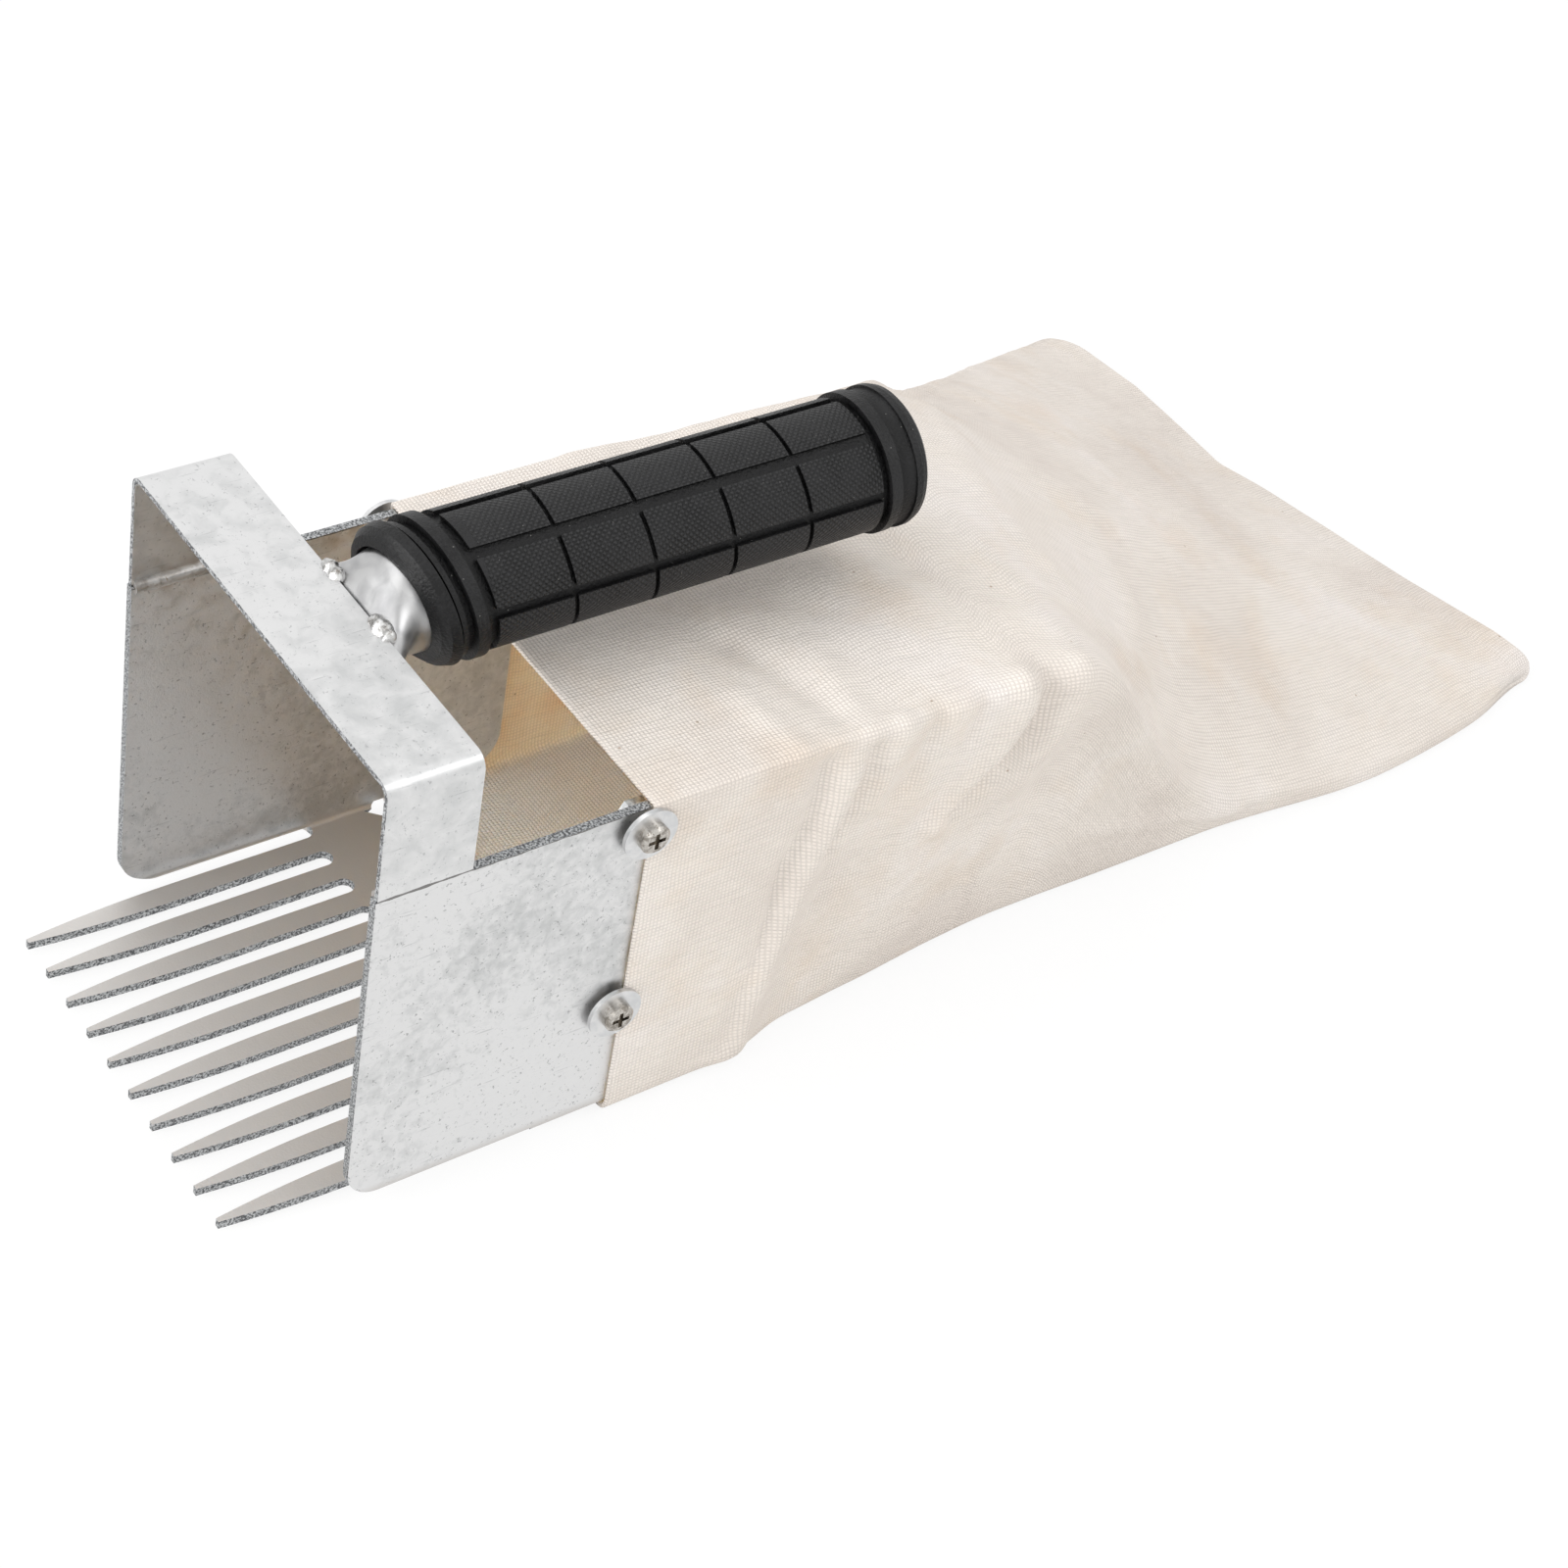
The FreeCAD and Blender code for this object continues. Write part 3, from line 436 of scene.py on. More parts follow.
def wovenCanvas(name, look):
    material, tree, shader = newMaterial(name)
    coordinates = add(tree, "ShaderNodeTexCoord")
    place = coordinates.outputs["Object"]
    height = plainWeave(tree, place, coordinates.outputs["UV"], look)
    stained = clothColour(tree, place, height, look)
    seeds = add(tree, "ShaderNodeTexVoronoi", {
        "Vector": place, "Scale": 1 / (look["fleckPitch"] * mm), "Randomness": 1.0})
    near = add(tree, "ShaderNodeMath", {0: seeds, 1: look["fleckSize"]}, operation="LESS_THAN")
    seedColour = add(tree, "ShaderNodeSeparateColor", {"Color": seeds.outputs["Color"]})
    chosen = add(tree, "ShaderNodeMath", {0: seedColour, 1: look["fleckChoice"]}, operation="GREATER_THAN")
    onFleck = add(tree, "ShaderNodeMath", {0: near, 1: chosen}, operation="MULTIPLY")
    fleckShare = add(tree, "ShaderNodeMath", {0: onFleck, 1: look["fleckShare"]}, operation="MULTIPLY")
    colour = add(tree, "ShaderNodeMixRGB", {"Fac": fleckShare, "Color1": stained, "Color2": look["fleck"]})
    fuzz = add(tree, "ShaderNodeTexNoise", {
        "Vector": place, "Scale": 1 / (look["fuzzSize"] * mm), "Detail": 2.0})
    fuzzBump = add(tree, "ShaderNodeBump", {
        "Height": fuzz, "Strength": look["fuzzBump"], "Distance": look["fuzzDepth"] * mm})
    bump = add(tree, "ShaderNodeBump", {
        "Height": height, "Strength": look["weaveBump"], "Distance": look["weaveDepth"] * mm,
        "Normal": fuzzBump})
    feed(tree, shader, {
        "Base Color": colour, "Roughness": look["roughness"], "Normal": bump,
        "Specular IOR Level": look["specular"], "Subsurface Weight": look["lightThrough"],
        "Subsurface Radius": look["lightRadius"], "Subsurface Scale": look["lightReach"] * mm})
    return material


# Meshes

# A mesh of quads from a grid of points in metres (rows, columns, 3), whose columns go round. Points
# that meet are joined, which closes an end row that lies in a point or a line, and all faces are
# turned outward.
def gridMesh(name, points, materials, closeRows=False, uv=None, rowMaterial=None):
    rows, columns = points.shape[:2]
    faces = []
    faceRows = []
    for i in range(rows if closeRows else rows - 1):
        here, after = i * columns, (i + 1) % rows * columns
        for j in range(columns):
            k = (j + 1) % columns
            faces.append((here + j, here + k, after + k, after + j))
            faceRows.append((i, j))
    mesh = bpy.data.meshes.new(name)
    mesh.from_pydata([tuple(point) for point in points.reshape(-1, 3)], [], faces)
    for material in materials:
        mesh.materials.append(material)
    if rowMaterial:
        mesh.polygons.foreach_set("material_index", [rowMaterial(i) for i, j in faceRows])
    if uv is not None:
        corners = [(uv[i, j], uv[i, j + 1], uv[(i + 1) % rows, j + 1], uv[(i + 1) % rows, j])
                   for i, j in faceRows]
        mesh.uv_layers.new(name="cloth").data.foreach_set("uv", np.array(corners).reshape(-1))
    mesh.polygons.foreach_set("use_smooth", [True] * len(faces))
    mesh.validate()
    work = bmesh.new()
    work.from_mesh(mesh)
    bmesh.ops.remove_doubles(work, verts=work.verts, dist=1e-6)
    bmesh.ops.recalc_face_normals(work, faces=work.faces)
    work.to_mesh(mesh)
    work.free()
    return showMesh(name, mesh)


def showMesh(name, mesh):
    thing = bpy.data.objects.new(name, mesh)
    bpy.context.scene.collection.objects.link(thing)
    return thing


# A small break of the edge catches the light, as on real sheet and rubber
def breakEdges(thing, width):
    edge = thing.modifiers.new("brokenEdge", "BEVEL")
    edge.width = width * mm
    edge.segments = 2
    edge.limit_method = "ANGLE"
    edge.angle_limit = math.radians(35)


# Smooth line through control values (place, value), softened over a length
def profile(places, controls, soften):
    step = 0.25
    start, end = controls[0][0], controls[-1][0]
    dense = np.arange(start - 4 * soften, end + 4 * soften + step, step)
    values = np.interp(dense, *zip(*controls))
    span = int(3 * soften / step)
    weights = np.exp(-0.5 * (np.arange(-span, span + 1) * step / soften) ** 2)
    smooth = np.convolve(np.pad(values, span, mode="edge"), weights / weights.sum(), mode="valid")
    return np.interp(places, dense, smooth)


# Canvas bag

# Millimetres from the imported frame's origin. Along is the near side's Y. Each line gives a value at
# chosen places along: where the foot, shoulder and far side run, how high the top lies at its near
# edge, middle and far edge, how far the far side lags behind, and how round the edges are. The rear
# bow is the seam's line by the share of its width from the far side.
bagLook = dict(
    mouthY=-16.95, endY=275.9, bottom=0.0, cloth=1.0,
    foot=[(-17, 51.3), (13, 51.2), (19, 50.0), (28, 46.4), (56, 43.6), (73, 41.6), (91, 40.6),
          (123, 41.2), (161, 41.6), (178, 43.2), (195, 45.2), (208, 45.4), (222, 44.2), (238, 42.2),
          (254, 39.2), (275.9, 34.0)],
    shoulder=[(-17, 51.3), (26, 51.3), (56, 50.2), (96, 49.2), (117, 46.6), (143, 44.4), (175, 44.2),
              (217, 44.6), (255, 39.8), (275.9, 34.0)],
    far=[(-17, -51.3), (56, -51.8), (96, -52.3), (117, -57.5), (143, -71.3), (175, -87.7), (217, -110.3),
         (254, -127.7), (275.9, -134.6)],
    nearTop=[(-17, 87.2), (24, 86.9), (56, 84.0), (84, 81.8), (97, 79.8), (106, 73.0), (117, 57.6),
             (129, 40.5), (143, 23.0), (158, 13.0), (175, 8.0), (195, 6.0), (217, 5.2), (254, 4.2),
             (275.9, 3.2)],
    middleTop=[(-17, 87.2), (56, 84.8), (97, 83.0), (117, 75.6), (143, 61.0), (175, 45.3), (217, 26.2),
               (254, 11.3), (275.9, 3.2)],
    farTop=[(-17, 87.2), (56, 86.3), (97, 85.5), (117, 80.2), (143, 61.9), (175, 44.5), (217, 24.4),
            (254, 8.7), (275.9, 3.2)],
    lag=[(-17, 0.0), (56, 1.2), (96, 2.4), (117, 5.0), (143, 8.6), (175, 13.4), (217, 19.6), (254, 25.0),
         (275.9, 27.6)],
    footRound=[(-17, 4.3), (20, 4.3), (40, 3.2), (275.9, 2.4)],
    foldRound=[(-17, 1.3), (20, 1.6), (60, 3.5), (100, 6.0), (275.9, 4.0)],
    rearBow=[(0.0, 0.0), (0.17, -1.0), (0.29, -4.6), (0.39, -8.0), (0.47, -5.8), (0.60, -4.2),
             (0.74, -3.0), (0.90, 0.4), (1.0, 0.0)],
    bowStart=150, roundShare=0.42, counts=(84, 52, 84, 52), cornerCount=7, rowStep=1.25, soften=4.0,
    endRounding=9.0, endReach=34, endNose=1.5, noseRows=5, pocketRow=8, pocketShares=[0.5, 1.0],
    thinning=((200, 262), (1.0, 0.6)), innerLift=0.9,
)
# The mouth's edge stands back at the far lower corner: how far, and from where it starts to where
# it is full, to the side, down and along
mouthPull = dict(depth=5.0, side=(32, 48), height=(4, 14), reach=16)
# Creases: points on the cloth in the same frame, how far it goes in or out, and how wide it is
bagCreases = [
    (((50, 25, 80), (50, 25, 75), (50, 24, 65), (50, 19, 52), (50, 17, 40), (50, 14, 24), (50, 12, 9)),
     -2.3, 3.0),
    (((50, 32, 76), (50, 30, 66), (50, 26, 53), (50, 22, 40), (50, 19, 30), (50, 15, 14), (50, 13, 5)),
     2.6, 5.0),
    (((50, 37, 80), (50, 36, 74), (50, 34, 64), (49, 31, 54)), -2.0, 2.4),
    (((50, 44, 83), (50, 43, 74), (49, 40, 62)), 1.4, 3.2),
    (((50, 54, 82), (50, 52, 74), (50, 49, 64)), -1.3, 2.6),
    (((50, 66, 82), (50, 64, 72)), -1.2, 2.6),
    (((48, 77, 82), (48, 77, 74), (47, 74, 64), (46, 69, 56), (46, 62, 46)), 2.0, 4.0),
    (((48, 84, 82), (48, 84, 74), (47, 81, 64), (46, 75, 57), (46, 68, 48)), -2.9, 3.0),
    (((48, 94, 79), (48, 93, 70), (47, 89, 60), (46, 84, 50)), 1.7, 4.5),
    (((30, 16, 87), (40, 17, 87), (51, 18, 87)), 0.9, 3.5),
    (((16, 24, 87), (28, 29, 86), (42, 32, 86)), -1.2, 4.0),
    (((24, 40, 86), (40, 36, 85), (51, 36, 84)), 0.9, 4.0),
    (((-48, 124, 71), (-14, 113, 76), (6, 112, 73), (18, 119, 64), (24, 138, 43)), 1.4, 6.0),
    (((46, 104, 49), (46, 119, 35), (46, 132, 19), (45, 146, 9)), -2.0, 5.0),
    (((43, 111, 21), (43, 127, 16), (43, 143, 11), (43, 155, 9), (44, 162, 7)), 1.2, 3.0),
    (((10, 150, 58), (20, 170, 44), (30, 190, 30)), -1.2, 5.0),
    (((-30, 140, 60), (-20, 165, 46), (-10, 190, 34)), 0.9, 7.0),
    (((-60, 150, 55), (-70, 175, 40), (-80, 200, 28)), -0.7, 7.0),
    (((-10, 60, 86), (5, 75, 85), (20, 90, 84)), -0.7, 6.0),
    (((43, 36, 4), (42, 50, 10), (42, 66, 14)), 1.0, 4.0),
]
# Where the creases count, and the cloth's unevenness (depth, size, seed): pairs of places along Y or
# up, and of the values there. Beside the walls the cloth can't go in.
clothLook = dict(
    creases=((-12, 8), (0, 1)), free=((12, 32), (0, 1)), offTable=((0.5, 4.5), (0, 1)),
    inward=((16, 24), (0.2, 5.0)), rear=((190, 262), (1.0, 0.25)),
    uneven=((0.9, 26, 1), (0.35, 9, 2)), rough=(0.12, 5, 3),
)


# One section across the bag: corner points in order (x, z), rounded, with the same number of
# points on each side in every row
def bagSection(foot, shoulder, far, nearTop, middleTop, farTop, footRound, foldRound, look):
    bottom = look["bottom"]
    corners = [np.array(corner, float) for corner in
               ((far, bottom), (foot, bottom), (shoulder, nearTop), (far, farTop))]
    most = look["roundShare"] * (min(nearTop, farTop) - bottom)
    rounds = [min(size, most) for size in (footRound, footRound, foldRound, foldRound)]
    starts, ends = [], []
    for i, here in enumerate(corners):
        before, after = corners[i - 1], corners[(i + 1) % 4]
        starts.append(here + (before - here) / np.linalg.norm(before - here) * rounds[i])
        ends.append(here + (after - here) / np.linalg.norm(after - here) * rounds[i])
    points = []
    for i, here in enumerate(corners):
        t = (np.arange(look["cornerCount"]) / look["cornerCount"])[:, None]
        points.append((1 - t) ** 2 * starts[i] + 2 * t * (1 - t) * here + t ** 2 * ends[i])
        t = (np.arange(look["counts"][i]) / look["counts"][i])[:, None]
        side = ends[i] * (1 - t) + starts[(i + 1) % 4] * t
        if i == 2:
            lift = middleTop - (nearTop + farTop) / 2
            side = side + np.hstack([0 * t, 4 * lift * t * (1 - t)])
        points.append(side)
    return np.vstack(points)


# Places along Y of one section's points: the far side lags, the seam is bowed, the two corners of
# the sewn end are round, and the mouth stands back at one corner
def sectionPlaces(section, y, lag, foot, far, look):
    share = (section[:, 0] - far) / (foot - far)
    rear = max(0.0, (y - look["bowStart"]) / (look["endY"] - look["bowStart"])) ** 2
    place = y - lag * (1 - share) + np.interp(share, *zip(*look["rearBow"])) * rear
    radius = look["endRounding"]
    inward = np.clip(np.minimum(section[:, 0] - far, foot - section[:, 0]), 0, radius)
    pull = radius - np.sqrt(radius ** 2 - (radius - inward) ** 2)
    near = np.clip(1 - (look["endY"] - y) / look["endReach"], 0, 1)
    place = place - pull * near * near * (3 - 2 * near)
    beside = np.interp(-section[:, 0], mouthPull["side"], (0, 1))
    below = np.interp(section[:, 1], mouthPull["height"], (1, 0))
    atMouth = np.clip(1 - (y - look["mouthY"]) / mouthPull["reach"], 0, 1)
    return place + mouthPull["depth"] * beside * below * atMouth


def distanceToLine(points, line):
    best = np.full(len(points), 1e9)
    for a, b in zip(line[:-1], line[1:]):
        a, b = np.array(a, float), np.array(b, float)
        d = b - a
        t = np.clip(((points - a) @ d) / (d @ d), 0, 1)
        best = np.minimum(best, np.linalg.norm(points - a - t[:, None] * d, axis=1))
    return best


def noiseField(points, depth, size, seed):
    offset = Vector((seed * 17.3, seed * 5.1, seed * 9.7))
    return depth * np.array([noise.noise(Vector(p) / size + offset) for p in points])


# How far each point of the cloth goes out of its plain form
def clothPush(points, look):
    along, up = points[:, 1], points[:, 2]
    push = np.zeros(len(points))
    for line, depth, width in bagCreases:
        push += depth * np.exp(-(distanceToLine(points, line) / width) ** 2)
    push *= np.interp(along, *look["creases"])
    push += np.interp(along, *look["free"]) * sum(noiseField(points, *wave) for wave in look["uneven"])
    push += noiseField(points, *look["rough"])
    push *= np.interp(up, *look["offTable"])
    return np.maximum(push, -np.interp(along, *look["inward"])) * np.interp(along, *look["rear"])


# Unit normals of a closed grid, pointing out of the bag
def gridNormals(grid):
    along = np.gradient(grid, axis=0)
    around = np.roll(grid, -1, axis=1) - np.roll(grid, 1, axis=1)
    normal = np.cross(along, around)
    return normal / np.maximum(np.linalg.norm(normal, axis=2, keepdims=True), 1e-9)


# Closes a row onto the line halfway between its top and its bottom
def closeRow(row, share, look):
    pairs = (sum(look["counts"][:3]) + 4 * look["cornerCount"] - 1 - np.arange(len(row))) % len(row)
    middle = (row + row[pairs]) / 2
    return middle + (row - middle) * (1 - share)


# The threads run from the near shoulder, so that they keep their pitch where the bag widens
def threadPlaces(rows, along, keep, look):
    steps = np.linalg.norm(np.roll(rows, -1, axis=1) - rows, axis=2)
    wayRound = np.hstack([np.zeros((len(rows), 1)), np.cumsum(steps, axis=1)])
    shoulder = sum(look["counts"][:2]) + 2 * look["cornerCount"] + look["cornerCount"] // 2
    noseStep = look["endNose"] / look["noseRows"]
    ends = [look["endY"] + n * noseStep for n in range(look["noseRows"], 0, -1)]
    uv = np.zeros((len(rows), rows.shape[1] + 1, 2))
    uv[:, :, 0] = (wayRound - wayRound[:, shoulder:shoulder + 1]) * mm
    wayAlong = np.concatenate([ends, along[::-1], along[:keep], along[keep - 1] + look["pocketShares"]])
    uv[:, :, 1] = wayAlong[:, None] * mm
    return uv


def makeBag(look, outside, inside):
    along = np.arange(look["mouthY"], look["endY"] + 0.1, look["rowStep"])
    along[-1] = look["endY"]
    lines = {key: profile(along, look[key], look["soften"]) for key in
             ("foot", "shoulder", "far", "nearTop", "middleTop", "farTop", "lag", "footRound", "foldRound")}
    grid = []
    for n, y in enumerate(along):
        values = {key: line[n] for key, line in lines.items()}
        lag = values.pop("lag")
        section = bagSection(look=look, **values)
        place = sectionPlaces(section, y, lag, values["foot"], values["far"], look)
        grid.append(np.stack([section[:, 0], place, section[:, 1]], axis=1))
    grid = np.array(grid)
    push = clothPush(grid.reshape(-1, 3), clothLook)
    normals = gridNormals(grid)
    outer = grid + normals * push.reshape(grid.shape[:2])[:, :, None]
    thick = look["cloth"] * np.interp(along, *look["thinning"])
    inner = outer - normals * thick[:, None, None]
    inner[:, :, 2] = np.maximum(inner[:, :, 2], look["bottom"] + look["innerLift"] * thick[:, None])
    # the sewn end is a rounded nose outside, and inside a pocket that closes before it
    nose = []
    for turn in np.linspace(0, math.pi / 2, look["noseRows"] + 1)[1:]:
        outward = np.array([0, look["endNose"] * math.sin(turn), 0])
        nose.append(closeRow(outer[-1], 1 - math.cos(turn), look) + outward)
    keep = len(along) - look["pocketRow"]
    pocket = [closeRow(inner[keep - 1], share, look) for share in look["pocketShares"]]
    rows = np.concatenate([np.array(nose[::-1]), outer[::-1], inner[:keep], np.array(pocket)])
    mouthRow = len(nose) + len(along)
    return gridMesh("canvasBag", rows * mm, [outside, inside], uv=threadPlaces(rows, along, keep, look),
                    rowMaterial=lambda i: 0 if i < mouthRow else 1)


# Tack welds, tube and grip

# How far the two beads' middles lie behind the strip's front edge and below the top of their solids,
# and the form of a bead: its ripples, slow swells and lumps
tackLook = dict(back=20.6, down=1.9, around=28, steps=49, endPower=2.6, rippleLength=1.1, ripple=0.10,
                swell=0.15, swellCount=2.2, lumps=0.16, lumpCount=3)


# A lumpy bead along X: ripples of the pool, ends that fade out
def weldBead(name, centre, length, radius, seed, look, material):
    rows = []
    for u in np.linspace(-1, 1, look["steps"]):
        end = math.sqrt(max(0.0, 1 - abs(u) ** look["endPower"]))
        ripple = 1 + look["ripple"] * math.sin(u * length / look["rippleLength"] + seed)
        ripple += look["swell"] * noise.noise(Vector((u * look["swellCount"], seed, 0.5)))
        x = centre[0] + u * length / 2
        row = []
        for k in range(look["around"]):
            a = 2 * math.pi * k / look["around"]
            place = Vector((u * look["lumpCount"], math.cos(a), math.sin(a) + seed))
            lump = 1 + look["lumps"] * noise.noise(place)
            r = radius * end * ripple * lump
            row.append((x, centre[1] + r * math.cos(a), centre[2] + r * math.sin(a)))
        rows.append(row)
    return gridMesh(name, np.array(rows) * mm, [material])


# The tube, pressed flat at its front end, swelling to round behind the strip with the press's dents
tubeLook = dict(radius=11.1, wall=1.5, front=-62.55, pressedEnd=-56.55, roundStart=-46.5, rear=66.0,
                pressedThickness=4.4, pressedHeight=110.4, axisHeight=109.8, sideways=3.5, around=96,
                pressedRows=5, flareRows=25, bodyPlaces=(-40.0, 0.0), dent=0.2, dentSize=(4, 5, 4),
                hollow=1.2)


def tubeSection(share, swell, inset, look):
    angle = 2 * math.pi * share
    radius = look["radius"] - inset
    roundPlace = np.array([radius * math.sin(angle), look["axisHeight"] + radius * math.cos(angle)])
    half = look["pressedThickness"] / 2 - min(inset, look["hollow"])
    straight = math.pi * (2 * look["radius"] - look["pressedThickness"]) / 2
    side = share if share <= 0.5 else 1 - share
    flatShare = straight / (2 * math.pi * look["radius"])
    if side < flatShare / 2:
        flat = np.array([straight * side / flatShare, half])
    elif side > 0.5 - flatShare / 2:
        flat = np.array([straight * (0.5 - side) / flatShare, -half])
    else:
        turn = math.pi * (side - flatShare / 2) / (0.5 - flatShare)
        flat = np.array([straight / 2 + half * math.sin(turn), half * math.cos(turn)])
    if share > 0.5:
        flat[0] = -flat[0]
    flatPlace = flat + np.array([look["sideways"], look["pressedHeight"]])
    return flatPlace * (1 - swell) + roundPlace * swell


def pressedTube(look, material):
    pressed = np.linspace(look["front"], look["pressedEnd"], look["pressedRows"])
    flare = np.linspace(look["pressedEnd"], look["roundStart"], look["flareRows"])[1:]
    layers = []
    for inset in (0.0, look["wall"]):
        rows = []
        for y in [*pressed, *flare, *look["bodyPlaces"], look["rear"]]:
            t = min(1.0, max(0.0, (y - look["pressedEnd"]) / (look["roundStart"] - look["pressedEnd"])))
            row = []
            for k in range(look["around"]):
                x, z = tubeSection(k / look["around"], math.sin(t * math.pi / 2), inset, look)
                place = Vector(c / size for c, size in zip((x, y, z), look["dentSize"]))
                dent = look["dent"] * 4 * t * (1 - t) * noise.noise(place)
                away = Vector((x, z - look["axisHeight"])).normalized()
                row.append((x + dent * away.x, y, z + dent * away.y))
            rows.append(row)
        layers.append(rows)
    return gridMesh("pressedTube", np.array(layers[0] + layers[1][::-1]) * mm, [material], closeRows=True)


# The rubber is pushed askew on its tube: at each place along Y how far it went, and its slant
# against X and Z, from the front of the lip to the closed end. Its rings are narrower than in the
# solid, so each edge goes from the first place to the second. The valley before the end slopes up
# to the flange.
gripLook = dict(
    skew=((0.0, 0.3, 0.17, -0.20), (10.0, 0.5, 0.08, -0.20), (32.0, 1.5, -0.08, -0.20),
          (88.0, 1.5, -0.04, -0.17), (106.0, 0.5, 0.0, -0.10), (118.0, 0.0, 0.0, 0.0)),
    edges=((0.0, 0.0), (8.0, 8.2), (11.9, 11.1), (13.7, 13.7), (107.5, 107.5), (111.4, 110.2),
           (113.2, 114.0), (118.0, 118.0)),
    valleyPlaces=(111.4, 113.2), valleyMargin=0.3, valleyRadii=(13.7, 14.8), valleyFrom=(12.5, 14.0),
)


def askewGrip(source, look, material):
    mesh = source.data.copy()
    mesh.name = "askewGrip"
    low, high = (Vector(c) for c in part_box("grip"))
    axis = (low.z + high.z) / 2
    places = [step[0] * mm + low.y for step in look["skew"]]
    front, back = look["valleyPlaces"]
    inner, outer = look["valleyFrom"]
    for vertex in mesh.vertices:
        place = (vertex.co.y - low.y) / mm
        outward = Vector((vertex.co.x, vertex.co.z - axis))
        inValley = front - look["valleyMargin"] < place < back + look["valleyMargin"]
        if inValley and inner < outward.length / mm < outer:
            radius = float(np.interp(place, (front, back), look["valleyRadii"]))
            outward = outward.normalized() * radius * mm
        vertex.co.x, vertex.co.z = outward.x, axis + outward.y
        vertex.co.y = low.y + mm * float(np.interp(place, *zip(*look["edges"])))
        far, sideways, upward = (float(np.interp(vertex.co.y, places, [step[k] for step in look["skew"]]))
                                 for k in (1, 2, 3))
        vertex.co.y += far * mm + sideways * vertex.co.x + upward * (vertex.co.z - axis)
    mesh.materials.clear()
    mesh.materials.append(material)
    return showMesh("askewGrip", mesh)


# The pieces

print("materials")
lowShell, highShell = (Vector(c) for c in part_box("scoop_shell"))
lowGrip, highGrip = (Vector(c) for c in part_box("grip"))
sheetThickness = 2 * mm
floorTop = lowShell.z + sheetThickness
# the blocks' radius, and how far they keep from the grip's two ends
gripBody = dict(radius=14.65, fromFront=13.8, fromEnd=12.4)
gripRubber = mouldedRubber(
    "mouldedRubber", rubberLook, axisHeight=(lowGrip.z + highGrip.z) / 2, gripRadius=gripBody["radius"] * mm,
    bodyStart=lowGrip.y + gripBody["fromFront"] * mm, bodyEnd=highGrip.y - gripBody["fromEnd"] * mm)

print("frame finishes")
finishes = dict(
    scoop=galvanisedSteel("galvanisedSheet", galvanisedLook, shellEdges(shellEdgeLook, floorTop), floorTop,
                          highShell.z),
    bridge=galvanisedSteel("galvanisedStrip", stripLook, stripEdges, floorTop, highShell.z),
    seam=brightMetal("seamWeldBead"), screw=brightMetal("nickelScrewPaintedReflection"),
    washer=brightMetal("zincPlatedWasher"), nut=brightMetal("zincPlatedNut"),
)
for name, thing in nodes.items():
    finish = finishes.get(name.split("_")[0])
    if finish:
        thing.data.materials.clear()
        thing.data.materials.append(finish)
breakEdges(nodes["scoop_shell"], 0.25)
breakEdges(nodes["bridge_strip"], 0.2)

print("grip, tube and welds")
grip = askewGrip(nodes["grip"], gripLook, gripRubber)
breakEdges(grip, 0.45)
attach(grip, "root")
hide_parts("grip")
tube = pressedTube(tubeLook, brightMetal("brightPlatedTube"))
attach(tube, "root")
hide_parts("handle_tube")
weldMetal = brightMetal("weldBead")
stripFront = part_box("bridge_strip")[0][1] / mm
for name, pieceName, radius, seed in (("tack_weld_left", "lumpyWeldLeft", 1.9, 1.3),
                                      ("tack_weld_right", "lumpyWeldRight", 1.7, 4.1)):
    low, high = (Vector(c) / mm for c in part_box(name))
    centre = ((low.x + high.x) / 2, stripFront + tackLook["back"], high.z - tackLook["down"])
    bead = weldBead(pieceName, centre, high.x - low.x, radius, seed, tackLook, weldMetal)
    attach(bead, "root")
    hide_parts(name)

print("bag")
bag = makeBag(bagLook, wovenCanvas("plainWeaveCanvas", outsideLook),
              wovenCanvas("canvasInsidePaintedGlow", glowPaintedInsideLook))
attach(bag, "root")
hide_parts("bag")

# Floor, light and camera

print("studio")
studioLook = dict(
    floorColour="#F4F4F3", floorWhite=0.86, floorReach=6.0, floorBelow=0.1, worldFill=0.86, aimHeight=0.05,
    lamps=(("keyLamp", (-0.35, -0.25, 1.35), 1.0, 3.3), ("overLamp", (0.55, 0.75, 1.0), 0.7, 3),
           ("sideLamp", (0.95, -0.75, 0.7), 0.8, 1.5), ("frontLamp", (-0.05, -1.1, 0.5), 0.7, 10)),
)
# The photo's camera, fitted to the scoop's edges: metres, and pixels of the whole photo
cameraLook = dict(eye=(0.42964, -0.32612, 0.53152), forward=(-0.5628, 0.544, -0.6223),
                  right=(0.5806, 0.7961, 0.1709), focal=3520, frame=1600, principal=(935.2, 636.0),
                  sensor=36)


# Share of the rays for which the backdrop is plain white: those of the camera, and in gloss and glass
def whiteRays(tree):
    rays = add(tree, "ShaderNodeLightPath")
    first = add(tree, "ShaderNodeMath", {
        0: rays.outputs["Is Camera Ray"], 1: rays.outputs["Is Glossy Ray"]}, operation="MAXIMUM")
    return add(tree, "ShaderNodeMath", {
        0: first, 1: rays.outputs["Is Transmission Ray"]}, operation="MAXIMUM")


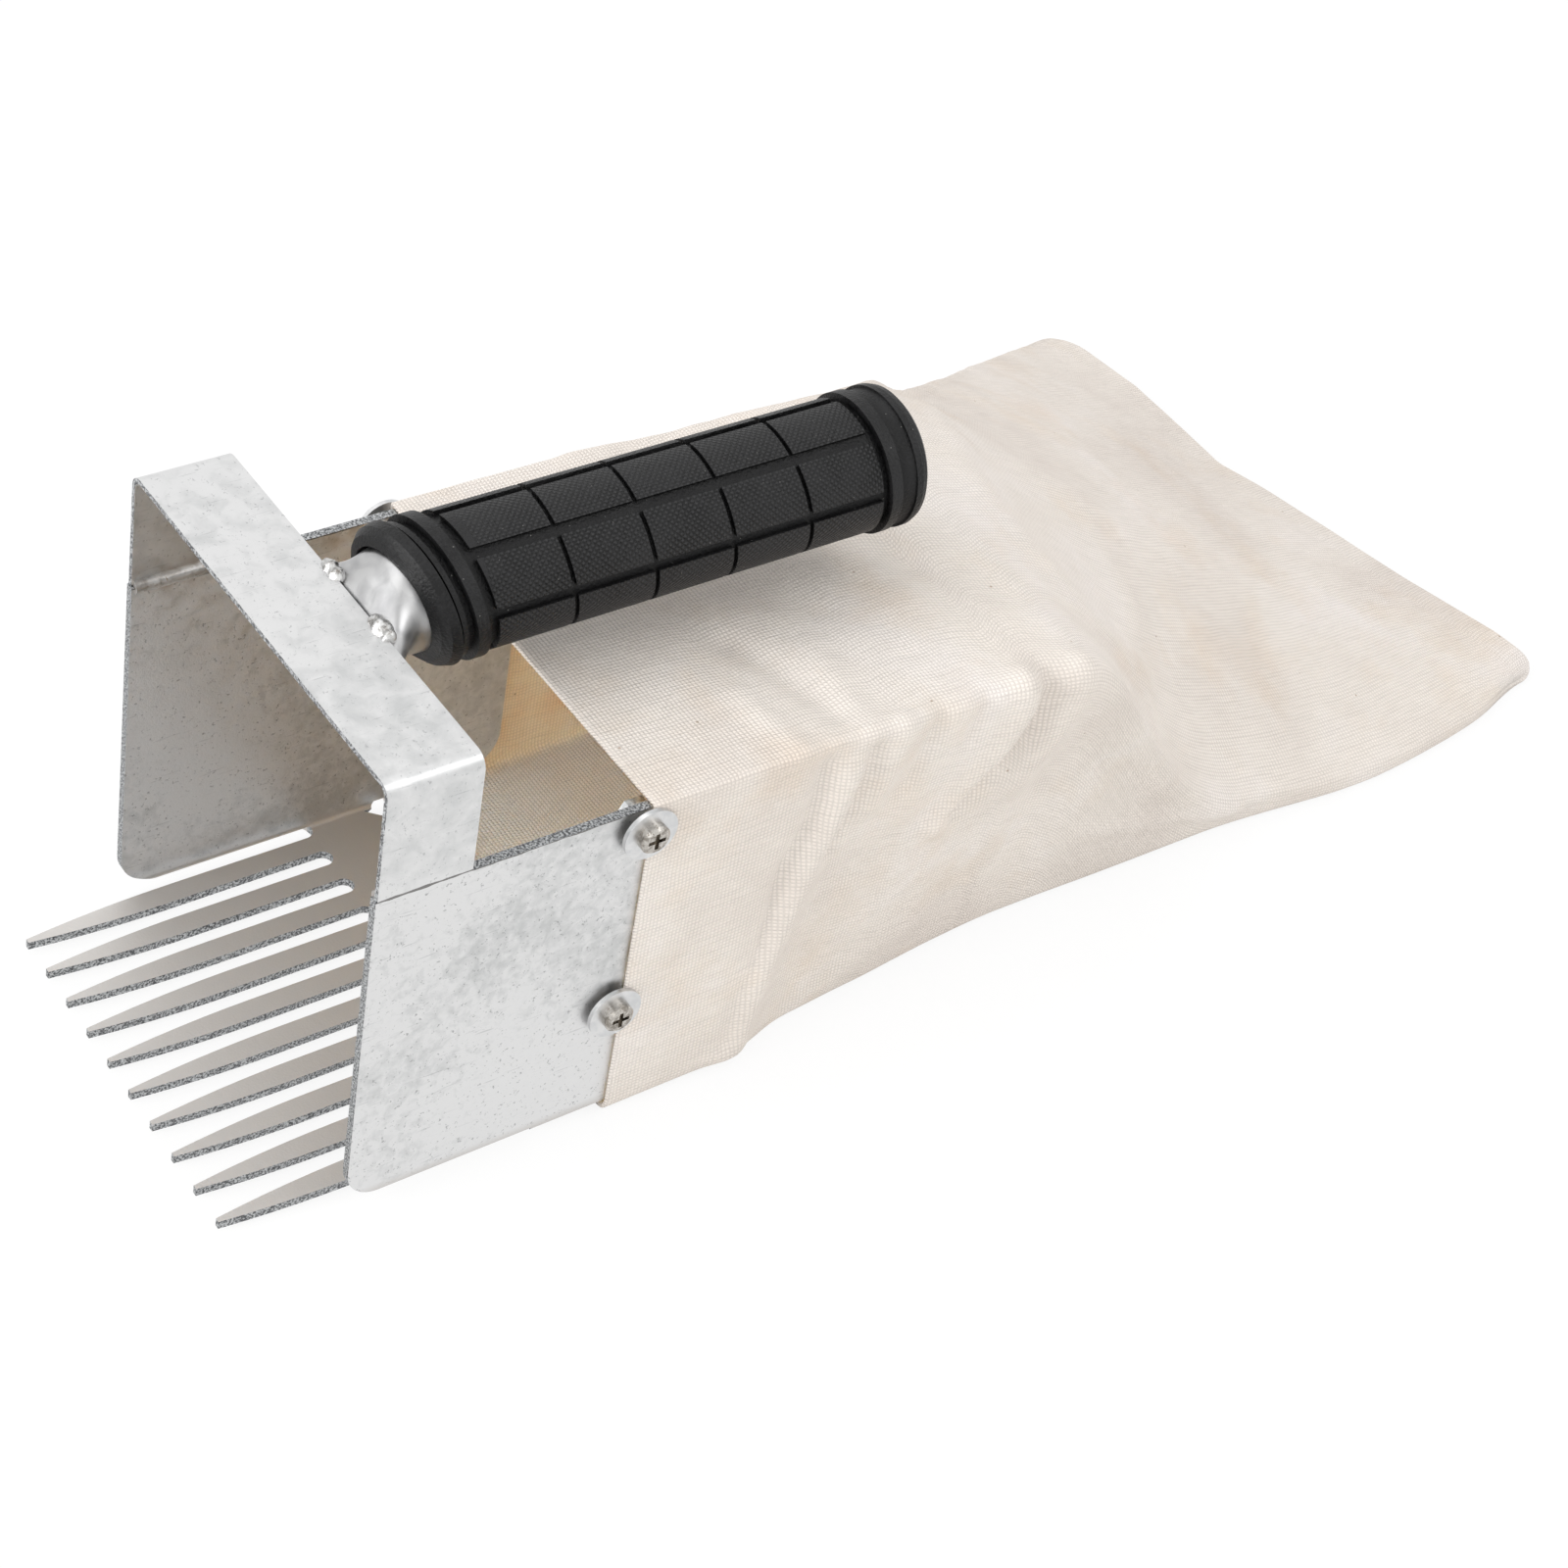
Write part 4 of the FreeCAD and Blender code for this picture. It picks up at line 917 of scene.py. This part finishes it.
def addFloor(look):
    material, tree, shader = newMaterial("matteFloorPaint")
    feed(tree, shader, {"Base Color": look["floorColour"], "Roughness": 0.9, "Specular IOR Level": 0.1})
    glow = add(tree, "ShaderNodeEmission", {"Color": "#FFFFFF", "Strength": 1.0})
    whiteShare = add(tree, "ShaderNodeMath", {
        0: whiteRays(tree), 1: look["floorWhite"]}, operation="MULTIPLY")
    mixed = add(tree, "ShaderNodeMixShader", {0: whiteShare, 1: shader, 2: glow})
    feed(tree, tree.nodes["surfaceOut"], {"Surface": mixed})
    reach = look["floorReach"]
    mesh = bpy.data.meshes.new("studioFloor")
    mesh.from_pydata([(-reach, -reach, 0), (reach, -reach, 0), (reach, reach, 0), (-reach, reach, 0)], [],
                     [(0, 1, 2, 3)])
    mesh.materials.append(material)
    floor = showMesh("studioFloor", mesh)
    floor.location.z = cadBox[0][2] - look["floorBelow"] * mm


def addWorld(look):
    world = bpy.data.worlds.new("studioWorld")
    bpy.context.scene.world = world
    world.use_nodes = True
    tree = world.node_tree
    tree.nodes.clear()
    fill = add(tree, "ShaderNodeBackground", {"Color": "#FFFFFF", "Strength": look["worldFill"]})
    white = add(tree, "ShaderNodeBackground", {"Color": "#FFFFFF", "Strength": 1.0})
    both = add(tree, "ShaderNodeMixShader", {0: whiteRays(tree), 1: fill, 2: white})
    add(tree, "ShaderNodeOutputWorld", {"Surface": both})


def addLamps(look):
    middle = [(low + high) / 2 for low, high in zip(*cadBox)]
    centre = Vector((middle[0], middle[1], look["aimHeight"]))
    for name, place, size, power in look["lamps"]:
        data = bpy.data.lights.new(name, "AREA")
        data.shape = "SQUARE"
        data.size = size
        data.energy = power
        lamp = bpy.data.objects.new(name, data)
        lamp.location = place
        lamp.rotation_euler = (centre - Vector(place)).to_track_quat("-Z", "Y").to_euler()
        bpy.context.scene.collection.objects.link(lamp)


def addCamera(look):
    data = bpy.data.cameras.new("photoCamera")
    camera = bpy.data.objects.new("photoCamera", data)
    forward = Vector(look["forward"]).normalized()
    right = Vector(look["right"])
    right = (right - forward * right.dot(forward)).normalized()
    turned = Matrix((right, right.cross(forward), -forward)).transposed().to_4x4()
    camera.matrix_world = Matrix.Translation(Vector(look["eye"])) @ turned
    pixels = look["frame"]
    data.sensor_fit = "HORIZONTAL"
    data.sensor_width = look["sensor"]
    data.lens = look["sensor"] * look["focal"] / pixels
    data.shift_x = (pixels / 2 - look["principal"][0]) / pixels
    data.shift_y = (look["principal"][1] - pixels / 2) / pixels
    data.clip_start = 0.01
    data.clip_end = 50
    bpy.context.scene.collection.objects.link(camera)
    bpy.context.scene.camera = camera


addFloor(studioLook)
addWorld(studioLook)
addLamps(studioLook)
addCamera(cameraLook)
bpy.context.scene.view_settings.view_transform = "Standard"
